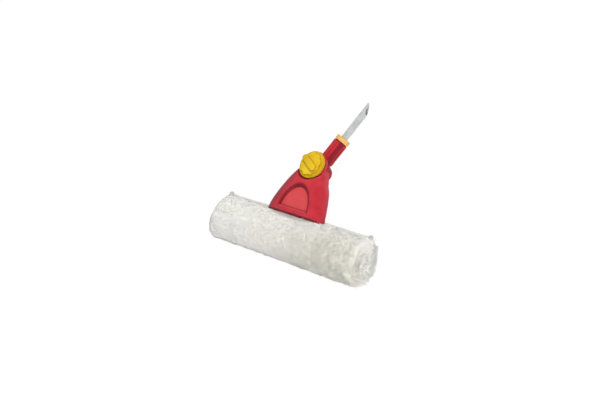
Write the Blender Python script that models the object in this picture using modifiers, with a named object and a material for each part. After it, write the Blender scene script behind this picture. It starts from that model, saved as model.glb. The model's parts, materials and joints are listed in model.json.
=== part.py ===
"""Head of a window washer, at its real size in metres, lying on its back with +Z up.

X runs along the crossbar, +Y points from the crossbar to the tang, and +Z is the holder's front.
The origin lies under the middle of the crossbar, on the surface that the tool rests on.
The holder is two shells screwed together round a hollow crossbar, which a fleece sleeve covers.
A fluted socket with a steel tang swivels in the holder's neck, and a knob on a fixed bolt clamps it.
"""

import math

import bmesh
import bpy
from mathutils import Vector

# Clearances
SEAT_GAP = 0.0003
PARTING_GAP = 0.0003
SWING_GAP = 0.0005
HUB_GAP = 0.0004
FABRIC_GAP = 0.0004
OVERRUN = 0.003

# Crossbar, a hollow flattened tube
BAR_LENGTH = 0.232
BAR_DEPTH = 0.028
BAR_THICKNESS = 0.015
BAR_WALL = 0.0018
WATER_SLOT_LENGTH = 0.014
WATER_SLOT_WIDTH = 0.0045
WATER_SLOT_PITCH = 0.021
WATER_SLOT_START = 0.058
WATER_SLOT_COUNT = 3

# End caps of the crossbar
CAP_PLUG_LENGTH = 0.010
CAP_FLANGE = 0.0025
CAP_ROUND = 0.0010

# Fleece sleeve, measured from the axis of the crossbar
SLEEVE_OVERHANG = 0.010
SLEEVE_LOW = 0.0305
SLEEVE_HIGH = 0.0312
SLEEVE_HALF_THICKNESS = 0.0205
SLEEVE_REST_DEPTH = 0.0180
SLEEVE_END_ROUND = 0.009
SLEEVE_TOP_TAPER_SHARE = 0.16

# Woven hem tapes along the sleeve's upper edge
HEM_LOW = 0.0235
HEM_HIGH = 0.0330
HEM_THICKNESS = 0.0020
HEM_TAB_RADIUS = 0.0049

# Press-studs in the hems
STUD_INSET = 0.0058
STUD_REACH = 0.0310
STUD_CAP_RADIUS = 0.0034
STUD_CAP_HEIGHT = 0.0016
STUD_BODY_RADIUS = 0.0026
STUD_BALL_RADIUS = 0.0012
STUD_POST_RADIUS = 0.0009
STUD_POCKET_RADIUS = 0.0044

# Holder, a domed fan from the crossbar to the neck
FAN_HALF_WIDTH = 0.0445
FAN_LIP = 0.0288
FAN_LIP_SLOPE = 0.0015
FAN_WALL = 0.0024
FAN_PARTING = 0.0040
FAN_EDGE = 0.0066
FAN_CROWN = 0.0200
FAN_BACK = 0.0088
CRADLE_WALL = 0.0026
RECESS_HALF_WIDTH = 0.0244
RECESS_BASE = 0.0335
RECESS_HEIGHT = 0.0340
RECESS_DEPTH = 0.0028
RECESS_SIDE_SLOPE = 0.0016
RECESS_TOP_SLOPE = 0.0034
RECESS_BACKING = 0.0024

# Neck of the holder and its pivot
PIVOT_REACH = 0.096
EAR_RADIUS = 0.0195
EAR_FACE = 0.0142
REAR_EAR_RADIUS = 0.0102
EAR_BACK = 0.0152
SEAT_RADIUS = 0.0215
BOSS_RADIUS = 0.0084
PEG_RADIUS = 0.0020
PEG_SPACING = 0.026

# Screws that close the holder
SCREW_PLACES = ((0.034, 0.0225), (0.026, 0.047), (0.015, 0.0715))
SCREW_BOSS_RADIUS = 0.0050
SCREW_SHANK_RADIUS = 0.0013
SCREW_HEAD_RADIUS = 0.0028
SCREW_HEAD_HEIGHT = 0.0019
SCREW_FLOOR = 0.0036
SCREW_REACH = 0.0085

# Swivel socket, its hub and its flutes
SWIVEL_REST_DEG = -18.5
SWIVEL_HALF_RANGE_DEG = 60.0
HUB_RADIUS = 0.0120
HUB_FRONT = 0.0093
TUBE_RADIUS = 0.0097
TUBE_NECK_RADIUS = 0.0086
TUBE_LENGTH = 0.045
FLUTE_COUNT = 10
FLUTE_DEPTH = 0.0011
FLUTE_START = 0.0185
FLUTE_END = 0.0415
FLUTE_RUNOUT = 0.0020
SPIGOT_RADIUS = 0.0076
SPIGOT_LENGTH = 0.0048

# Toothed rings between the hub and the front ear
TEETH = 24
TOOTH_HEIGHT = 0.0009
TOOTH_INNER = 0.0062
TOOTH_OUTER = 0.0113

# Collar ring
COLLAR_RADIUS = 0.0099
COLLAR_END_WALL = 0.0016
COLLAR_ROUND = 0.0012

# Steel tang, a flattened tube cut off at a slant
TANG_WIDTH = 0.0104
TANG_THICKNESS = 0.0070
TANG_WALL = 0.0012
TANG_START = 0.022
TANG_END = 0.107
TANG_SLANT = 0.017
TANG_SEAM = 0.0006
TANG_SHOULDER = 0.0004

# Pivot bolt, washer, knob and nut
BOLT_RADIUS = 0.0030
BOLT_HEAD_FLATS = 0.0100
BOLT_HEAD_HEIGHT = 0.0038
BOLT_HEAD_SINK = 0.0006
NUT_HEIGHT = 0.0050
WASHER_RADIUS = 0.0082
WASHER_THICKNESS = 0.0012
WASHER_SINK = 0.0008
KNOB_RADIUS = 0.0188
KNOB_FLANGE = 0.0030
KNOB_GRIP_RADIUS = 0.0164
KNOB_GRIP_HEIGHT = 0.0036
KNOB_LOBES = 9
KNOB_LOBE_DEPTH = 0.0020
KNOB_ROUND = 0.0012
KNOB_ROOF = 0.0010
KNOB_BAR_LENGTH = 0.0300
KNOB_BAR_WIDTH = 0.0090
KNOB_BAR_HEIGHT = 0.0036
KNOB_BAR_TURN_DEG = -30.0

# Smoothness
SLEEVE_SIDES = 32
DOME_SIDES = 18
SHELL_STATIONS = 18
HOLLOW_STATIONS = 7
ROUND_SIDES = 32
SMALL_SIDES = 12
FLUTE_SIDES = 6
LOBE_SIDES = 8
BOLT_SIDES = 24
SHARP_ANGLE = math.radians(35.0)

# Sizes that follow from those above
REST_HEIGHT = SLEEVE_REST_DEPTH
SLEEVE_LENGTH = BAR_LENGTH + 2 * SLEEVE_OVERHANG
FAN_FOOT = -(BAR_DEPTH / 2 + SEAT_GAP + CRADLE_WALL)
LIP_STEP_SHARE = -FAN_LIP_SLOPE / (FAN_LIP - FAN_FOOT)
CRADLE_HALF = BAR_THICKNESS / 2 + SEAT_GAP + CRADLE_WALL
HUB_BACK = TUBE_RADIUS
TANG_ROOT_WIDTH = TANG_WIDTH - 2 * TANG_SHOULDER
TANG_ROOT_THICKNESS = TANG_THICKNESS - 2 * TANG_SHOULDER
COLLAR_INNER_END = TUBE_LENGTH + SPIGOT_LENGTH + SEAT_GAP
COLLAR_END = COLLAR_INNER_END + COLLAR_END_WALL
TOOTH_TIP = HUB_FRONT + TOOTH_HEIGHT
EAR_TOOTH_TIP = TOOTH_TIP + HUB_GAP
EAR_INNER = EAR_TOOTH_TIP + TOOTH_HEIGHT
BORE_RADIUS = BOLT_RADIUS + SEAT_GAP
WASHER_LOW = EAR_FACE - WASHER_SINK + SEAT_GAP
KNOB_LOW = WASHER_LOW + WASHER_THICKNESS + SEAT_GAP
KNOB_GRIP_HIGH = KNOB_LOW + KNOB_FLANGE + KNOB_GRIP_HEIGHT

# The fan's half-width along its reach: (share of the way, share of the half-width)
# The way is 0 at the lip and 1 at the pivot, and runs to -1 at the foot
FAN_WIDTH_SHARES = (
    (-1.0, 1.0), (0.0, 1.0), (0.044, 1.0), (0.178, 0.964), (0.321, 0.899), (0.474, 0.818),
    (0.618, 0.724), (0.761, 0.606), (0.904, 0.482), (1.0, 0.405),
)
# The front's crown along the same reach, as shares of FAN_CROWN above the crossbar's axis
FRONT_CROWN_SHARES = (
    (-1.0, 0.52), (LIP_STEP_SHARE, 0.52), (0.0, 0.86), (0.10, 0.93), (0.25, 0.985), (0.40, 1.0),
    (0.618, 1.0), (0.761, 0.97), (0.904, 0.82), (1.0, 0.74),
)
# The front's edge along the same reach, as shares of FAN_EDGE above the crossbar's axis
FRONT_EDGE_SHARES = (
    (-1.0, 1.40), (LIP_STEP_SHARE, 1.40), (0.0, 1.02), (0.178, 1.0), (0.474, 1.02), (0.618, 1.08),
    (0.761, 1.22), (0.904, 1.45), (1.0, 1.70),
)
# Where the two shells part, as shares of FAN_PARTING above the crossbar's axis
PARTING_SHARES = (
    (-1.0, 0.0), (-0.244, 0.0), (0.044, 0.80), (0.178, 1.0), (0.618, 1.0), (0.809, 0.5), (1.0, 0.25),
)
# The back's half-width along the same reach, as shares of FAN_HALF_WIDTH
BACK_WIDTH_SHARES = (
    (-1.0, 1.0), (0.0, 1.0), (0.044, 1.0), (0.178, 0.964), (0.321, 0.899), (0.474, 0.818),
    (0.618, 0.724), (0.761, 0.54), (0.904, 0.34), (1.0, 0.25),
)
# The back's edge below the parting and its crown below the axis, as shares of FAN_BACK
BACK_EDGE_SHARES = (
    (-1.0, 1.06), (-0.244, 1.06), (-0.049, 0.60), (0.092, 0.08), (0.761, 0.08), (0.904, 0.40), (1.0, 0.60),
)
BACK_CROWN_SHARES = (
    (-1.0, 1.18), (-0.244, 1.18), (-0.049, 1.07), (0.044, 1.0), (0.474, 1.0), (0.618, 1.06),
    (0.761, 1.24), (0.904, 1.50), (1.0, 1.62),
)
# How square the shells' sections are: 2 gives an ellipse
FRONT_POWER_SHARE = 2.8
BACK_POWER_SHARE = 2.1
# How fast the arch draws in towards its apex: 1 gives half an ellipse
ARCH_POWER_SHARE = 1.2


def empty(name, parent=None, location=(0, 0, 0), turn_deg=0.0):
    """An empty that carries pieces: its location and turn are read in its parent's frame."""
    holder = bpy.data.objects.new(name, None)
    holder.location = location
    holder.rotation_euler = (0, 0, math.radians(turn_deg))
    holder.parent = parent
    bpy.context.scene.collection.objects.link(holder)
    return holder


def new_collection(name):
    group = bpy.data.collections.new(name)
    bpy.context.scene.collection.children.link(group)
    return group


def clear_scene():
    for old in list(bpy.data.objects):
        bpy.data.objects.remove(old, do_unlink=True)


clear_scene()
PART = new_collection("window_washer")
TOOLS = new_collection("cutters")
BAR_AXIS = empty("bar_axis", None, (0, 0, REST_HEIGHT))
PIVOT = empty("pivot_axis", BAR_AXIS, (0, PIVOT_REACH, 0))
SWIVEL = empty("swivel_frame", PIVOT, (0, 0, 0), SWIVEL_REST_DEG)


def material(name, colour, roughness, metallic=0.0):
    """A plain Principled finish in a linear colour."""
    made = bpy.data.materials.new(name)
    made.use_nodes = True
    shader = made.node_tree.nodes["Principled BSDF"]
    shader.inputs["Base Color"].default_value = (*colour, 1.0)
    shader.inputs["Roughness"].default_value = roughness
    shader.inputs["Metallic"].default_value = metallic
    made.diffuse_color = (*colour, 1.0)
    return made


RED = material("red_plastic", (0.52, 0.055, 0.065), 0.38)
YELLOW = material("yellow_plastic", (0.80, 0.52, 0.02), 0.40)
STEEL = material("zinc_plated_steel", (0.55, 0.55, 0.53), 0.32, 1.0)
FLEECE = material("off_white_fleece", (0.78, 0.75, 0.68), 0.95)
TAPE = material("hem_tape", (0.70, 0.69, 0.64), 0.90)
GREY = material("grey_plastic", (0.35, 0.35, 0.34), 0.55)
STUD = material("press_stud_metal", (0.42, 0.42, 0.40), 0.40, 0.8)


def as_object(name, mesh, finish=None, parent=BAR_AXIS):
    """Puts a mesh in the scene: a finished piece, or a tool where no finish is given."""
    made = bpy.data.objects.new(name, mesh)
    made.parent = parent
    if finish is None:
        made.hide_render = True
        made.display_type = "WIRE"
        TOOLS.objects.link(made)
    else:
        mesh.materials.append(finish)
        PART.objects.link(made)
    return made


def loft(name, rings, finish=None, parent=BAR_AXIS):
    """A closed skin over rings of equally many points, capped at both ends."""
    mesh = bpy.data.meshes.new(name)
    form = bmesh.new()
    skins = [[form.verts.new(point) for point in ring] for ring in rings]
    count = len(skins[0])
    for low, high in zip(skins, skins[1:]):
        for i in range(count):
            j = (i + 1) % count
            form.faces.new((low[i], low[j], high[j], high[i]))
    form.faces.new(skins[0][::-1])
    form.faces.new(skins[-1])
    bmesh.ops.recalc_face_normals(form, faces=form.faces)
    form.to_mesh(mesh)
    form.free()
    return as_object(name, mesh, finish, parent)


def cylinder(name, radius, low, high, place=(0, 0), finish=None, parent=BAR_AXIS, sides=ROUND_SIDES):
    """A cylinder along Z between two heights, with its axis at place."""
    mesh = bpy.data.meshes.new(name)
    form = bmesh.new()
    bmesh.ops.create_cone(
        form, cap_ends=True, segments=sides, radius1=radius, radius2=radius, depth=high - low
    )
    bmesh.ops.translate(form, verts=form.verts, vec=(place[0], place[1], (low + high) / 2))
    form.to_mesh(mesh)
    form.free()
    return as_object(name, mesh, finish, parent)


def prism(name, outlines, low, high, finish=None, parent=BAR_AXIS, along="Z"):
    """A flat outline, with any holes, drawn as a 2D curve, extruded and made a mesh.

    Along Z the outline's x and y are the part's. Along Y they are its X and Z, and along X its Y and Z.
    """
    curve = bpy.data.curves.new(name, "CURVE")
    curve.dimensions = "2D"
    curve.fill_mode = "BOTH"
    curve.extrude = (high - low) / 2
    for outline in outlines:
        spline = curve.splines.new("POLY")
        spline.points.add(len(outline) - 1)
        for point, (x, y) in zip(spline.points, outline):
            point.co = (x, y, 0, 1)
        spline.use_cyclic_u = True
    drawn = bpy.data.objects.new(name, curve)
    bpy.context.scene.collection.objects.link(drawn)
    graph = bpy.context.evaluated_depsgraph_get()
    mesh = bpy.data.meshes.new_from_object(drawn.evaluated_get(graph))
    bpy.data.objects.remove(drawn, do_unlink=True)
    bpy.data.curves.remove(curve)
    middle = (low + high) / 2
    turned_to = {
        "X": lambda co: (co.z + middle, co.x, co.y),
        "Y": lambda co: (co.x, middle - co.z, co.y),
        "Z": lambda co: (co.x, co.y, co.z + middle),
    }[along]
    form = bmesh.new()
    form.from_mesh(mesh)
    for vertex in form.verts:
        vertex.co = Vector(turned_to(vertex.co))
    bmesh.ops.remove_doubles(form, verts=form.verts, dist=OVERRUN / 1000)
    bmesh.ops.recalc_face_normals(form, faces=form.faces)
    form.to_mesh(mesh)
    form.free()
    mesh.materials.clear()
    return as_object(name, mesh, finish, parent)


def turned(name, profile, finish=None, parent=BAR_AXIS, place=(0, 0), sides=ROUND_SIDES, closed=False):
    """A profile of (radius, height) points, run down its outer side, turned about Z at place."""
    mesh = bpy.data.meshes.new(name)
    form = bmesh.new()
    points = [form.verts.new((radius, 0, height)) for radius, height in profile]
    pairs = list(zip(points, points[1:]))
    if closed:
        pairs.append((points[-1], points[0]))
    for pair in pairs:
        form.edges.new(pair)
    form.to_mesh(mesh)
    form.free()
    made = as_object(name, mesh, finish, parent)
    made.location = (place[0], place[1], 0)
    screw = made.modifiers.new("turn", "SCREW")
    screw.steps = sides
    screw.render_steps = sides
    screw.use_merge_vertices = True
    screw.merge_threshold = OVERRUN / 100
    return made


def apply_tool(piece, tool, operation):
    step = piece.modifiers.new(tool.name, "BOOLEAN")
    step.operation = operation
    step.solver = "EXACT"
    step.object = tool
    return piece


def cut(piece, *cutters):
    for cutter in cutters:
        apply_tool(piece, cutter, "DIFFERENCE")
    return piece


def join(piece, *additions):
    for addition in additions:
        apply_tool(piece, addition, "UNION")
    return piece


def smooth(piece):
    """Shades round faces smooth and keeps the edges crisp, after the piece's other modifiers."""
    made = piece.modifiers.new("smooth_round_faces", "WEIGHTED_NORMAL")
    made.keep_sharp = True
    piece.data.shade_smooth()
    piece.data.set_sharp_from_angle(angle=SHARP_ANGLE)
    return piece


def curve_through(points, at):
    """The value at a place on a smooth curve through (place, value) points."""
    places = [point[0] for point in points]
    values = [point[1] for point in points]
    if at <= places[0]:
        return values[0]
    if at >= places[-1]:
        return values[-1]
    i = max(k for k in range(len(places) - 1) if places[k] <= at)
    rise = [(values[k + 1] - values[k]) / (places[k + 1] - places[k]) for k in range(len(places) - 1)]

    def slope(k):
        if k == 0 or k == len(places) - 1:
            return rise[min(k, len(rise) - 1)]
        if rise[k - 1] * rise[k] <= 0:
            return 0.0
        return 2 * rise[k - 1] * rise[k] / (rise[k - 1] + rise[k])

    span = places[i + 1] - places[i]
    t = (at - places[i]) / span
    start = (2 * t**3 - 3 * t**2 + 1) * values[i] + (t**3 - 2 * t**2 + t) * span * slope(i)
    end = (3 * t**2 - 2 * t**3) * values[i + 1] + (t**3 - t**2) * span * slope(i + 1)
    return start + end


def spread(first, last, count):
    """Evenly spaced values from first to last."""
    return [first + (last - first) * i / (count - 1) for i in range(count)]


def around(count):
    return [2 * math.pi * i / count for i in range(count)]


def circle(radius, sides=ROUND_SIDES, place=(0, 0)):
    return [(place[0] + radius * math.cos(a), place[1] + radius * math.sin(a)) for a in around(sides)]


def obround(length, width, sides=ROUND_SIDES):
    """A slot's outline: length along its first axis, with half-round ends."""
    radius = min(length, width) / 2
    shift_x = length / 2 - radius
    shift_y = width / 2 - radius
    radius = radius / math.cos(math.pi / sides)
    outline = []
    for i in range(sides):
        a = 2 * math.pi * (i + 1 / 2) / sides
        x = radius * math.cos(a) + math.copysign(shift_x, math.cos(a))
        y = radius * math.sin(a) + math.copysign(shift_y, math.sin(a))
        outline.append((x, y))
    return outline


def hexagon(flats, sides=6):
    """Points round a regular hexagon of the given width across flats, six or a multiple of six."""
    sector = math.pi / 3
    outline = []
    for a in around(sides):
        reach = flats / 2 / math.cos(a % sector - sector / 2)
        outline.append((reach * math.cos(a), reach * math.sin(a)))
    return outline


def at_height(outline, height):
    return [(x, y, height) for x, y in outline]


def at_reach(outline, reach):
    """An outline in X and Z, placed along Y."""
    return [(x, reach, z) for x, z in outline]


def along_reach(y):
    """How far from lip to pivot a place is, as a share, or how far from lip to foot, as a negative one."""
    if y < FAN_LIP:
        return (y - FAN_LIP) / (FAN_LIP - FAN_FOOT)
    return (y - FAN_LIP) / (PIVOT_REACH - FAN_LIP)


def parting_at(y):
    """The height at which the front and back shells meet, at y."""
    return FAN_PARTING * curve_through(PARTING_SHARES, along_reach(y))


def dome_side(y, front, grow, sink=0.0):
    """One face of the holder at y, from its +X edge to its -X edge.

    It is grown outward by grow, and its crown is lowered by sink.
    """
    share = along_reach(y)
    foot_room = max(0.0, y - FAN_FOOT)
    rounding = min(1.0, (foot_room / CRADLE_WALL) ** (1 / 2) + 1 / 2)
    if front:
        half = FAN_HALF_WIDTH * curve_through(FAN_WIDTH_SHARES, share)
        edge = FAN_EDGE * curve_through(FRONT_EDGE_SHARES, share) * rounding + grow
        crown = FAN_CROWN * curve_through(FRONT_CROWN_SHARES, share) * rounding + grow - sink
        power = FRONT_POWER_SHARE
    else:
        half = FAN_HALF_WIDTH * curve_through(BACK_WIDTH_SHARES, share)
        edge = parting_at(y) - FAN_BACK * curve_through(BACK_EDGE_SHARES, share) * rounding - grow
        crown = -FAN_BACK * curve_through(BACK_CROWN_SHARES, share) * rounding - grow
        power = BACK_POWER_SHARE
    side = []
    for i in range(DOME_SIDES + 1):
        a = math.pi * i / DOME_SIDES
        across = math.copysign(abs(math.cos(a)) ** (2 / power), math.cos(a))
        rise = abs(math.sin(a)) ** (2 / power)
        side.append(((half + grow) * across, edge + (crown - edge) * rise))
    return side


def fan_reaches(low, high, step_count):
    """Stations along the fan, closer at a foot and at the lip that steps up over the sleeve."""
    reaches = spread(low, high, step_count)
    if low <= FAN_FOOT:
        lip = [FAN_LIP - FAN_LIP_SLOPE, FAN_LIP]
        reaches = [y for y in reaches if y < lip[0] - FAN_LIP_SLOPE or y > FAN_LIP + FAN_LIP_SLOPE]
        reaches += [low + CRADLE_WALL / 4, low + CRADLE_WALL] + lip
    return sorted(reaches)


def half_holder(name, front, grow, low, high, step_count, past, finish=None, sink=0.0):
    """The front or back half of the holder between two reaches, closed near the parting.

    Its closed side lies past the parting by past, which is negative where the half stops short.
    """
    rings = []
    for y in fan_reaches(low, high, step_count):
        side = dome_side(y, front, grow, sink)
        close = parting_at(y) - past if front else parting_at(y) + past
        ring = [(side[0][0], close)] + side + [(side[-1][0], close)]
        rings.append(at_reach(ring, y))
    return loft(name, rings, finish)


def holder_room(name, grow, high, step_count):
    """The whole holder grown by a clearance, to cut its room from the sleeve."""
    rings = []
    for y in fan_reaches(FAN_FOOT, high, step_count):
        y_shape = max(y, FAN_FOOT + CRADLE_WALL)
        ring = dome_side(y_shape, True, grow) + dome_side(y_shape - grow, False, grow)[::-1]
        rings.append(at_reach(ring, y - grow))
    return loft(name, rings)


def tooth_ring(name, root, tip, buried, parent):
    """Radial teeth between two planes, on a base that reaches into the piece they belong to."""
    mesh = bpy.data.meshes.new(name)
    form = bmesh.new()
    lines = []
    for k in range(2 * TEETH):
        a = math.pi * k / TEETH
        height = tip if k % 2 else root
        inner = Vector((TOOTH_INNER * math.cos(a), TOOTH_INNER * math.sin(a), 0))
        outer = Vector((TOOTH_OUTER * math.cos(a), TOOTH_OUTER * math.sin(a), 0))
        lift = Vector((0, 0, height))
        sink = Vector((0, 0, buried))
        lines.append([form.verts.new(p) for p in (inner + lift, outer + lift, outer + sink, inner + sink)])
    for k, line in enumerate(lines):
        after = lines[(k + 1) % len(lines)]
        for i in range(4):
            j = (i + 1) % 4
            form.faces.new((line[i], line[j], after[j], after[i]))
    bmesh.ops.recalc_face_normals(form, faces=form.faces)
    form.to_mesh(mesh)
    form.free()
    return as_object(name, mesh, None, parent)


def make_carrier_bar():
    """Hollow bar with water slots through both walls and two holes for the back shell's pegs."""
    outer = obround(BAR_DEPTH, BAR_THICKNESS)
    inner = obround(BAR_DEPTH - 2 * BAR_WALL, BAR_THICKNESS - 2 * BAR_WALL)
    bar = prism("carrier_bar", [outer, inner], -BAR_LENGTH / 2, BAR_LENGTH / 2, GREY, along="X")
    for side in (-1, 1):
        for k in range(WATER_SLOT_COUNT):
            middle = side * (WATER_SLOT_START + k * WATER_SLOT_PITCH)
            slot = [(x + middle, y) for x, y in obround(WATER_SLOT_LENGTH, WATER_SLOT_WIDTH, SMALL_SIDES)]
            cut(bar, prism(f"water_slot_{side}_{k}", [slot], -BAR_THICKNESS, BAR_THICKNESS))
        place = (side * PEG_SPACING / 2, 0)
        hole_radius = PEG_RADIUS + SEAT_GAP
        low = -BAR_THICKNESS
        cut(bar, cylinder(f"peg_hole_{side}", hole_radius, low, -BAR_WALL, place, sides=SMALL_SIDES))
    return smooth(bar)


def make_end_cap(name, side):
    """A plug that fits the bar's bore, with a flange as large as the bar and a rounded rim."""
    shrink = 2 * (BAR_WALL + SEAT_GAP)
    plug = (BAR_DEPTH - shrink, BAR_THICKNESS - shrink)
    lead = 2 * CAP_ROUND
    start = BAR_LENGTH / 2 + SEAT_GAP
    stations = (
        (start - CAP_PLUG_LENGTH, plug[0] - lead, plug[1] - lead),
        (start - CAP_PLUG_LENGTH + CAP_ROUND, plug[0], plug[1]),
        (start, plug[0], plug[1]),
        (start, BAR_DEPTH, BAR_THICKNESS),
        (start + CAP_FLANGE - CAP_ROUND, BAR_DEPTH, BAR_THICKNESS),
        (start + CAP_FLANGE, BAR_DEPTH - lead, BAR_THICKNESS - lead),
    )
    rings = [[(side * x, y, z) for y, z in obround(depth, height)] for x, depth, height in stations]
    return smooth(loft(name, rings, GREY))


def sleeve_ring(x, inset):
    """The sleeve's section at x: full below, narrower towards the hem, flat where it rests."""
    middle = (SLEEVE_HIGH - SLEEVE_LOW) / 2
    half_height = (SLEEVE_HIGH + SLEEVE_LOW) / 2 - inset
    half_thickness = SLEEVE_HALF_THICKNESS - inset
    ring = []
    for a in around(SLEEVE_SIDES):
        y = middle + half_height * math.cos(a)
        z = half_thickness * math.sin(a) * (1 - SLEEVE_TOP_TAPER_SHARE * math.cos(a))
        ring.append((x, y, max(z, -SLEEVE_REST_DEPTH)))
    return ring


def make_sleeve():
    """The fleece round the bar, with room for the bar, the caps, the holder, the hems and the studs."""
    rings = []
    turns = spread(math.radians(75.0), 0.0, 5)
    for a in turns:
        x = -(SLEEVE_LENGTH / 2 - SLEEVE_END_ROUND * (1 - math.sin(a)))
        rings.append(sleeve_ring(x, SLEEVE_END_ROUND * (1 - math.cos(a))))
    for a in turns[::-1]:
        x = SLEEVE_LENGTH / 2 - SLEEVE_END_ROUND * (1 - math.sin(a))
        rings.append(sleeve_ring(x, SLEEVE_END_ROUND * (1 - math.cos(a))))
    sleeve = loft("fleece_sleeve", rings, FLEECE)
    hollow_half = BAR_LENGTH / 2 + SEAT_GAP + CAP_FLANGE + FABRIC_GAP
    hollow = obround(BAR_DEPTH + 2 * FABRIC_GAP, BAR_THICKNESS + 2 * FABRIC_GAP)
    cut(sleeve, prism("bar_room", [hollow], -hollow_half, hollow_half, along="X"))
    cut(sleeve, holder_room("holder_room", FABRIC_GAP, HEM_HIGH + OVERRUN, 2 * HOLLOW_STATIONS))
    for side in (-1, 1):
        slot_half = HEM_THICKNESS + SEAT_GAP / 2 + FABRIC_GAP
        inner = side * (FAN_HALF_WIDTH - OVERRUN)
        outer = side * (SLEEVE_LENGTH / 2 + OVERRUN)
        low = HEM_LOW - FABRIC_GAP
        high = HEM_HIGH + OVERRUN
        pocket = cylinder(
            f"stud_room_{side}", STUD_POCKET_RADIUS, -SLEEVE_HALF_THICKNESS, SLEEVE_HALF_THICKNESS,
            stud_place(side), sides=SMALL_SIDES,
        )
        cut(sleeve, pocket)
        slot = [(inner, low), (outer, low), (outer, high), (inner, high)]
        cut(sleeve, prism(f"hem_room_{side}", [slot], -slot_half, slot_half))
    return smooth(sleeve)


def stud_place(side):
    return (side * (SLEEVE_LENGTH / 2 - STUD_INSET), STUD_REACH)


def make_hem(name, side, front):
    """A folded tape from the holder's side to a round tab at the sleeve's end, holed for the stud."""
    inner = FAN_HALF_WIDTH + 2 * FABRIC_GAP
    tab_x = SLEEVE_LENGTH / 2 - STUD_INSET
    outline = [(inner, HEM_LOW), (tab_x - HEM_TAB_RADIUS / 2, HEM_LOW)]
    for a in spread(math.radians(-60.0), math.radians(140.0), 9):
        outline.append((tab_x + HEM_TAB_RADIUS * math.cos(a), STUD_REACH + HEM_TAB_RADIUS * math.sin(a)))
    outline += [(tab_x - 3 / 2 * HEM_TAB_RADIUS, HEM_HIGH), (inner, HEM_HIGH)]
    outline = [(side * x, y) for x, y in outline]
    hole = circle(STUD_BODY_RADIUS + SEAT_GAP, SMALL_SIDES, stud_place(side))
    low = SEAT_GAP / 2
    high = low + HEM_THICKNESS
    if not front:
        low, high = -high, -low
    return prism(name, [outline, hole], low, high, TAPE)


def dome_profile(radius, low, height, post_radius, post_end):
    """A domed cap over a post: heights rise outward from the tape, and the post points back."""
    rim = low + height / 3
    profile = [(0, low + height)]
    for a in spread(math.radians(70.0), 0.0, 4):
        profile.append((radius * math.cos(a), rim + (low + height - rim) * math.sin(a)))
    return profile + [(radius, low), (post_radius, low), (post_radius, post_end), (0, post_end)]


def make_press_stud(side, word):
    """Cap and socket in the front hem, stud and back cap in the back hem, one inside the other."""
    place = stud_place(side)
    face = SEAT_GAP / 2 + HEM_THICKNESS
    body_low = SEAT_GAP
    body_high = face - SEAT_GAP
    post_end = body_low + HEM_THICKNESS / 3
    cap = dome_profile(STUD_CAP_RADIUS, face + SEAT_GAP, STUD_CAP_HEIGHT, STUD_POST_RADIUS, post_end)
    smooth(turned(f"press_stud_cap_{word}", cap, STUD, place=place, sides=SMALL_SIDES))
    hole = STUD_BALL_RADIUS + SEAT_GAP
    ring = [(STUD_BODY_RADIUS, body_high), (STUD_BODY_RADIUS, body_low)]
    ring += [(hole, body_low), (hole, body_high)]
    smooth(turned(f"press_stud_socket_{word}", ring, STUD, place=place, sides=SMALL_SIDES, closed=True))
    ball_top = post_end - SEAT_GAP
    stud = [(0, ball_top), (STUD_BALL_RADIUS * 2 / 3, ball_top), (STUD_BALL_RADIUS, ball_top - SEAT_GAP)]
    stud += [(STUD_BALL_RADIUS, -body_low), (STUD_BODY_RADIUS, -body_low), (STUD_BODY_RADIUS, -body_high)]
    bore = STUD_POST_RADIUS + SEAT_GAP
    stud += [(bore, -body_high), (bore, -post_end + SEAT_GAP), (0, -post_end + SEAT_GAP)]
    smooth(turned(f"press_stud_ball_{word}", stud, STUD, place=place, sides=SMALL_SIDES))
    back = [(radius, -height) for radius, height in cap][::-1]
    smooth(turned(f"press_stud_back_{word}", back, STUD, place=place, sides=SMALL_SIDES))


def arch(half_width, base, height, count=24):
    """A round-topped arch that stands on a straight base."""
    outline = []
    for a in spread(0.0, math.pi, count):
        outline.append((half_width * math.cos(a), base + height * math.sin(a) ** ARCH_POWER_SHARE))
    return outline


def screw_places():
    return [(side * x, y) for x, y in SCREW_PLACES for side in (-1, 1)]


def swing_room(name):
    """The slot that the socket's tube swings in, as wide as its range."""
    limit = math.radians(SWIVEL_HALF_RANGE_DEG)
    room = TUBE_RADIUS + SWING_GAP
    far = 2 * EAR_RADIUS + TUBE_RADIUS
    corner = (room * math.cos(limit), PIVOT_REACH - room * math.sin(limit))
    edge = (corner[0] + far * math.sin(limit), corner[1] + far * math.cos(limit))
    outline = [(-corner[0], corner[1]), corner, edge, (edge[0], PIVOT_REACH + far)]
    outline += [(-edge[0], PIVOT_REACH + far), (-edge[0], edge[1])]
    return prism(name, [outline], -room, room)


def hollow_room(name, front, boss_radius):
    """The hollow of one shell, with its screw bosses left standing."""
    low = FAN_LIP + FAN_WALL if front else BAR_DEPTH / 2 + SEAT_GAP + 2 * FAN_WALL
    high = RECESS_BASE + RECESS_HEIGHT - FAN_WALL
    sink = RECESS_BACKING if front else 0.0
    hollow = half_holder(name, front, -FAN_WALL, low, high, HOLLOW_STATIONS, OVERRUN, sink=sink)
    for k, place in enumerate(screw_places()):
        top = 2 * FAN_CROWN
        cut(hollow, cylinder(f"{name}_boss_{k}", boss_radius, -FAN_CROWN, top, place, sides=SMALL_SIDES))
    return hollow


def bar_channel(name):
    channel = obround(BAR_DEPTH + 2 * SEAT_GAP, BAR_THICKNESS + 2 * SEAT_GAP)
    reach = FAN_HALF_WIDTH + OVERRUN
    return prism(name, [channel], -reach, reach, along="X")


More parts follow.
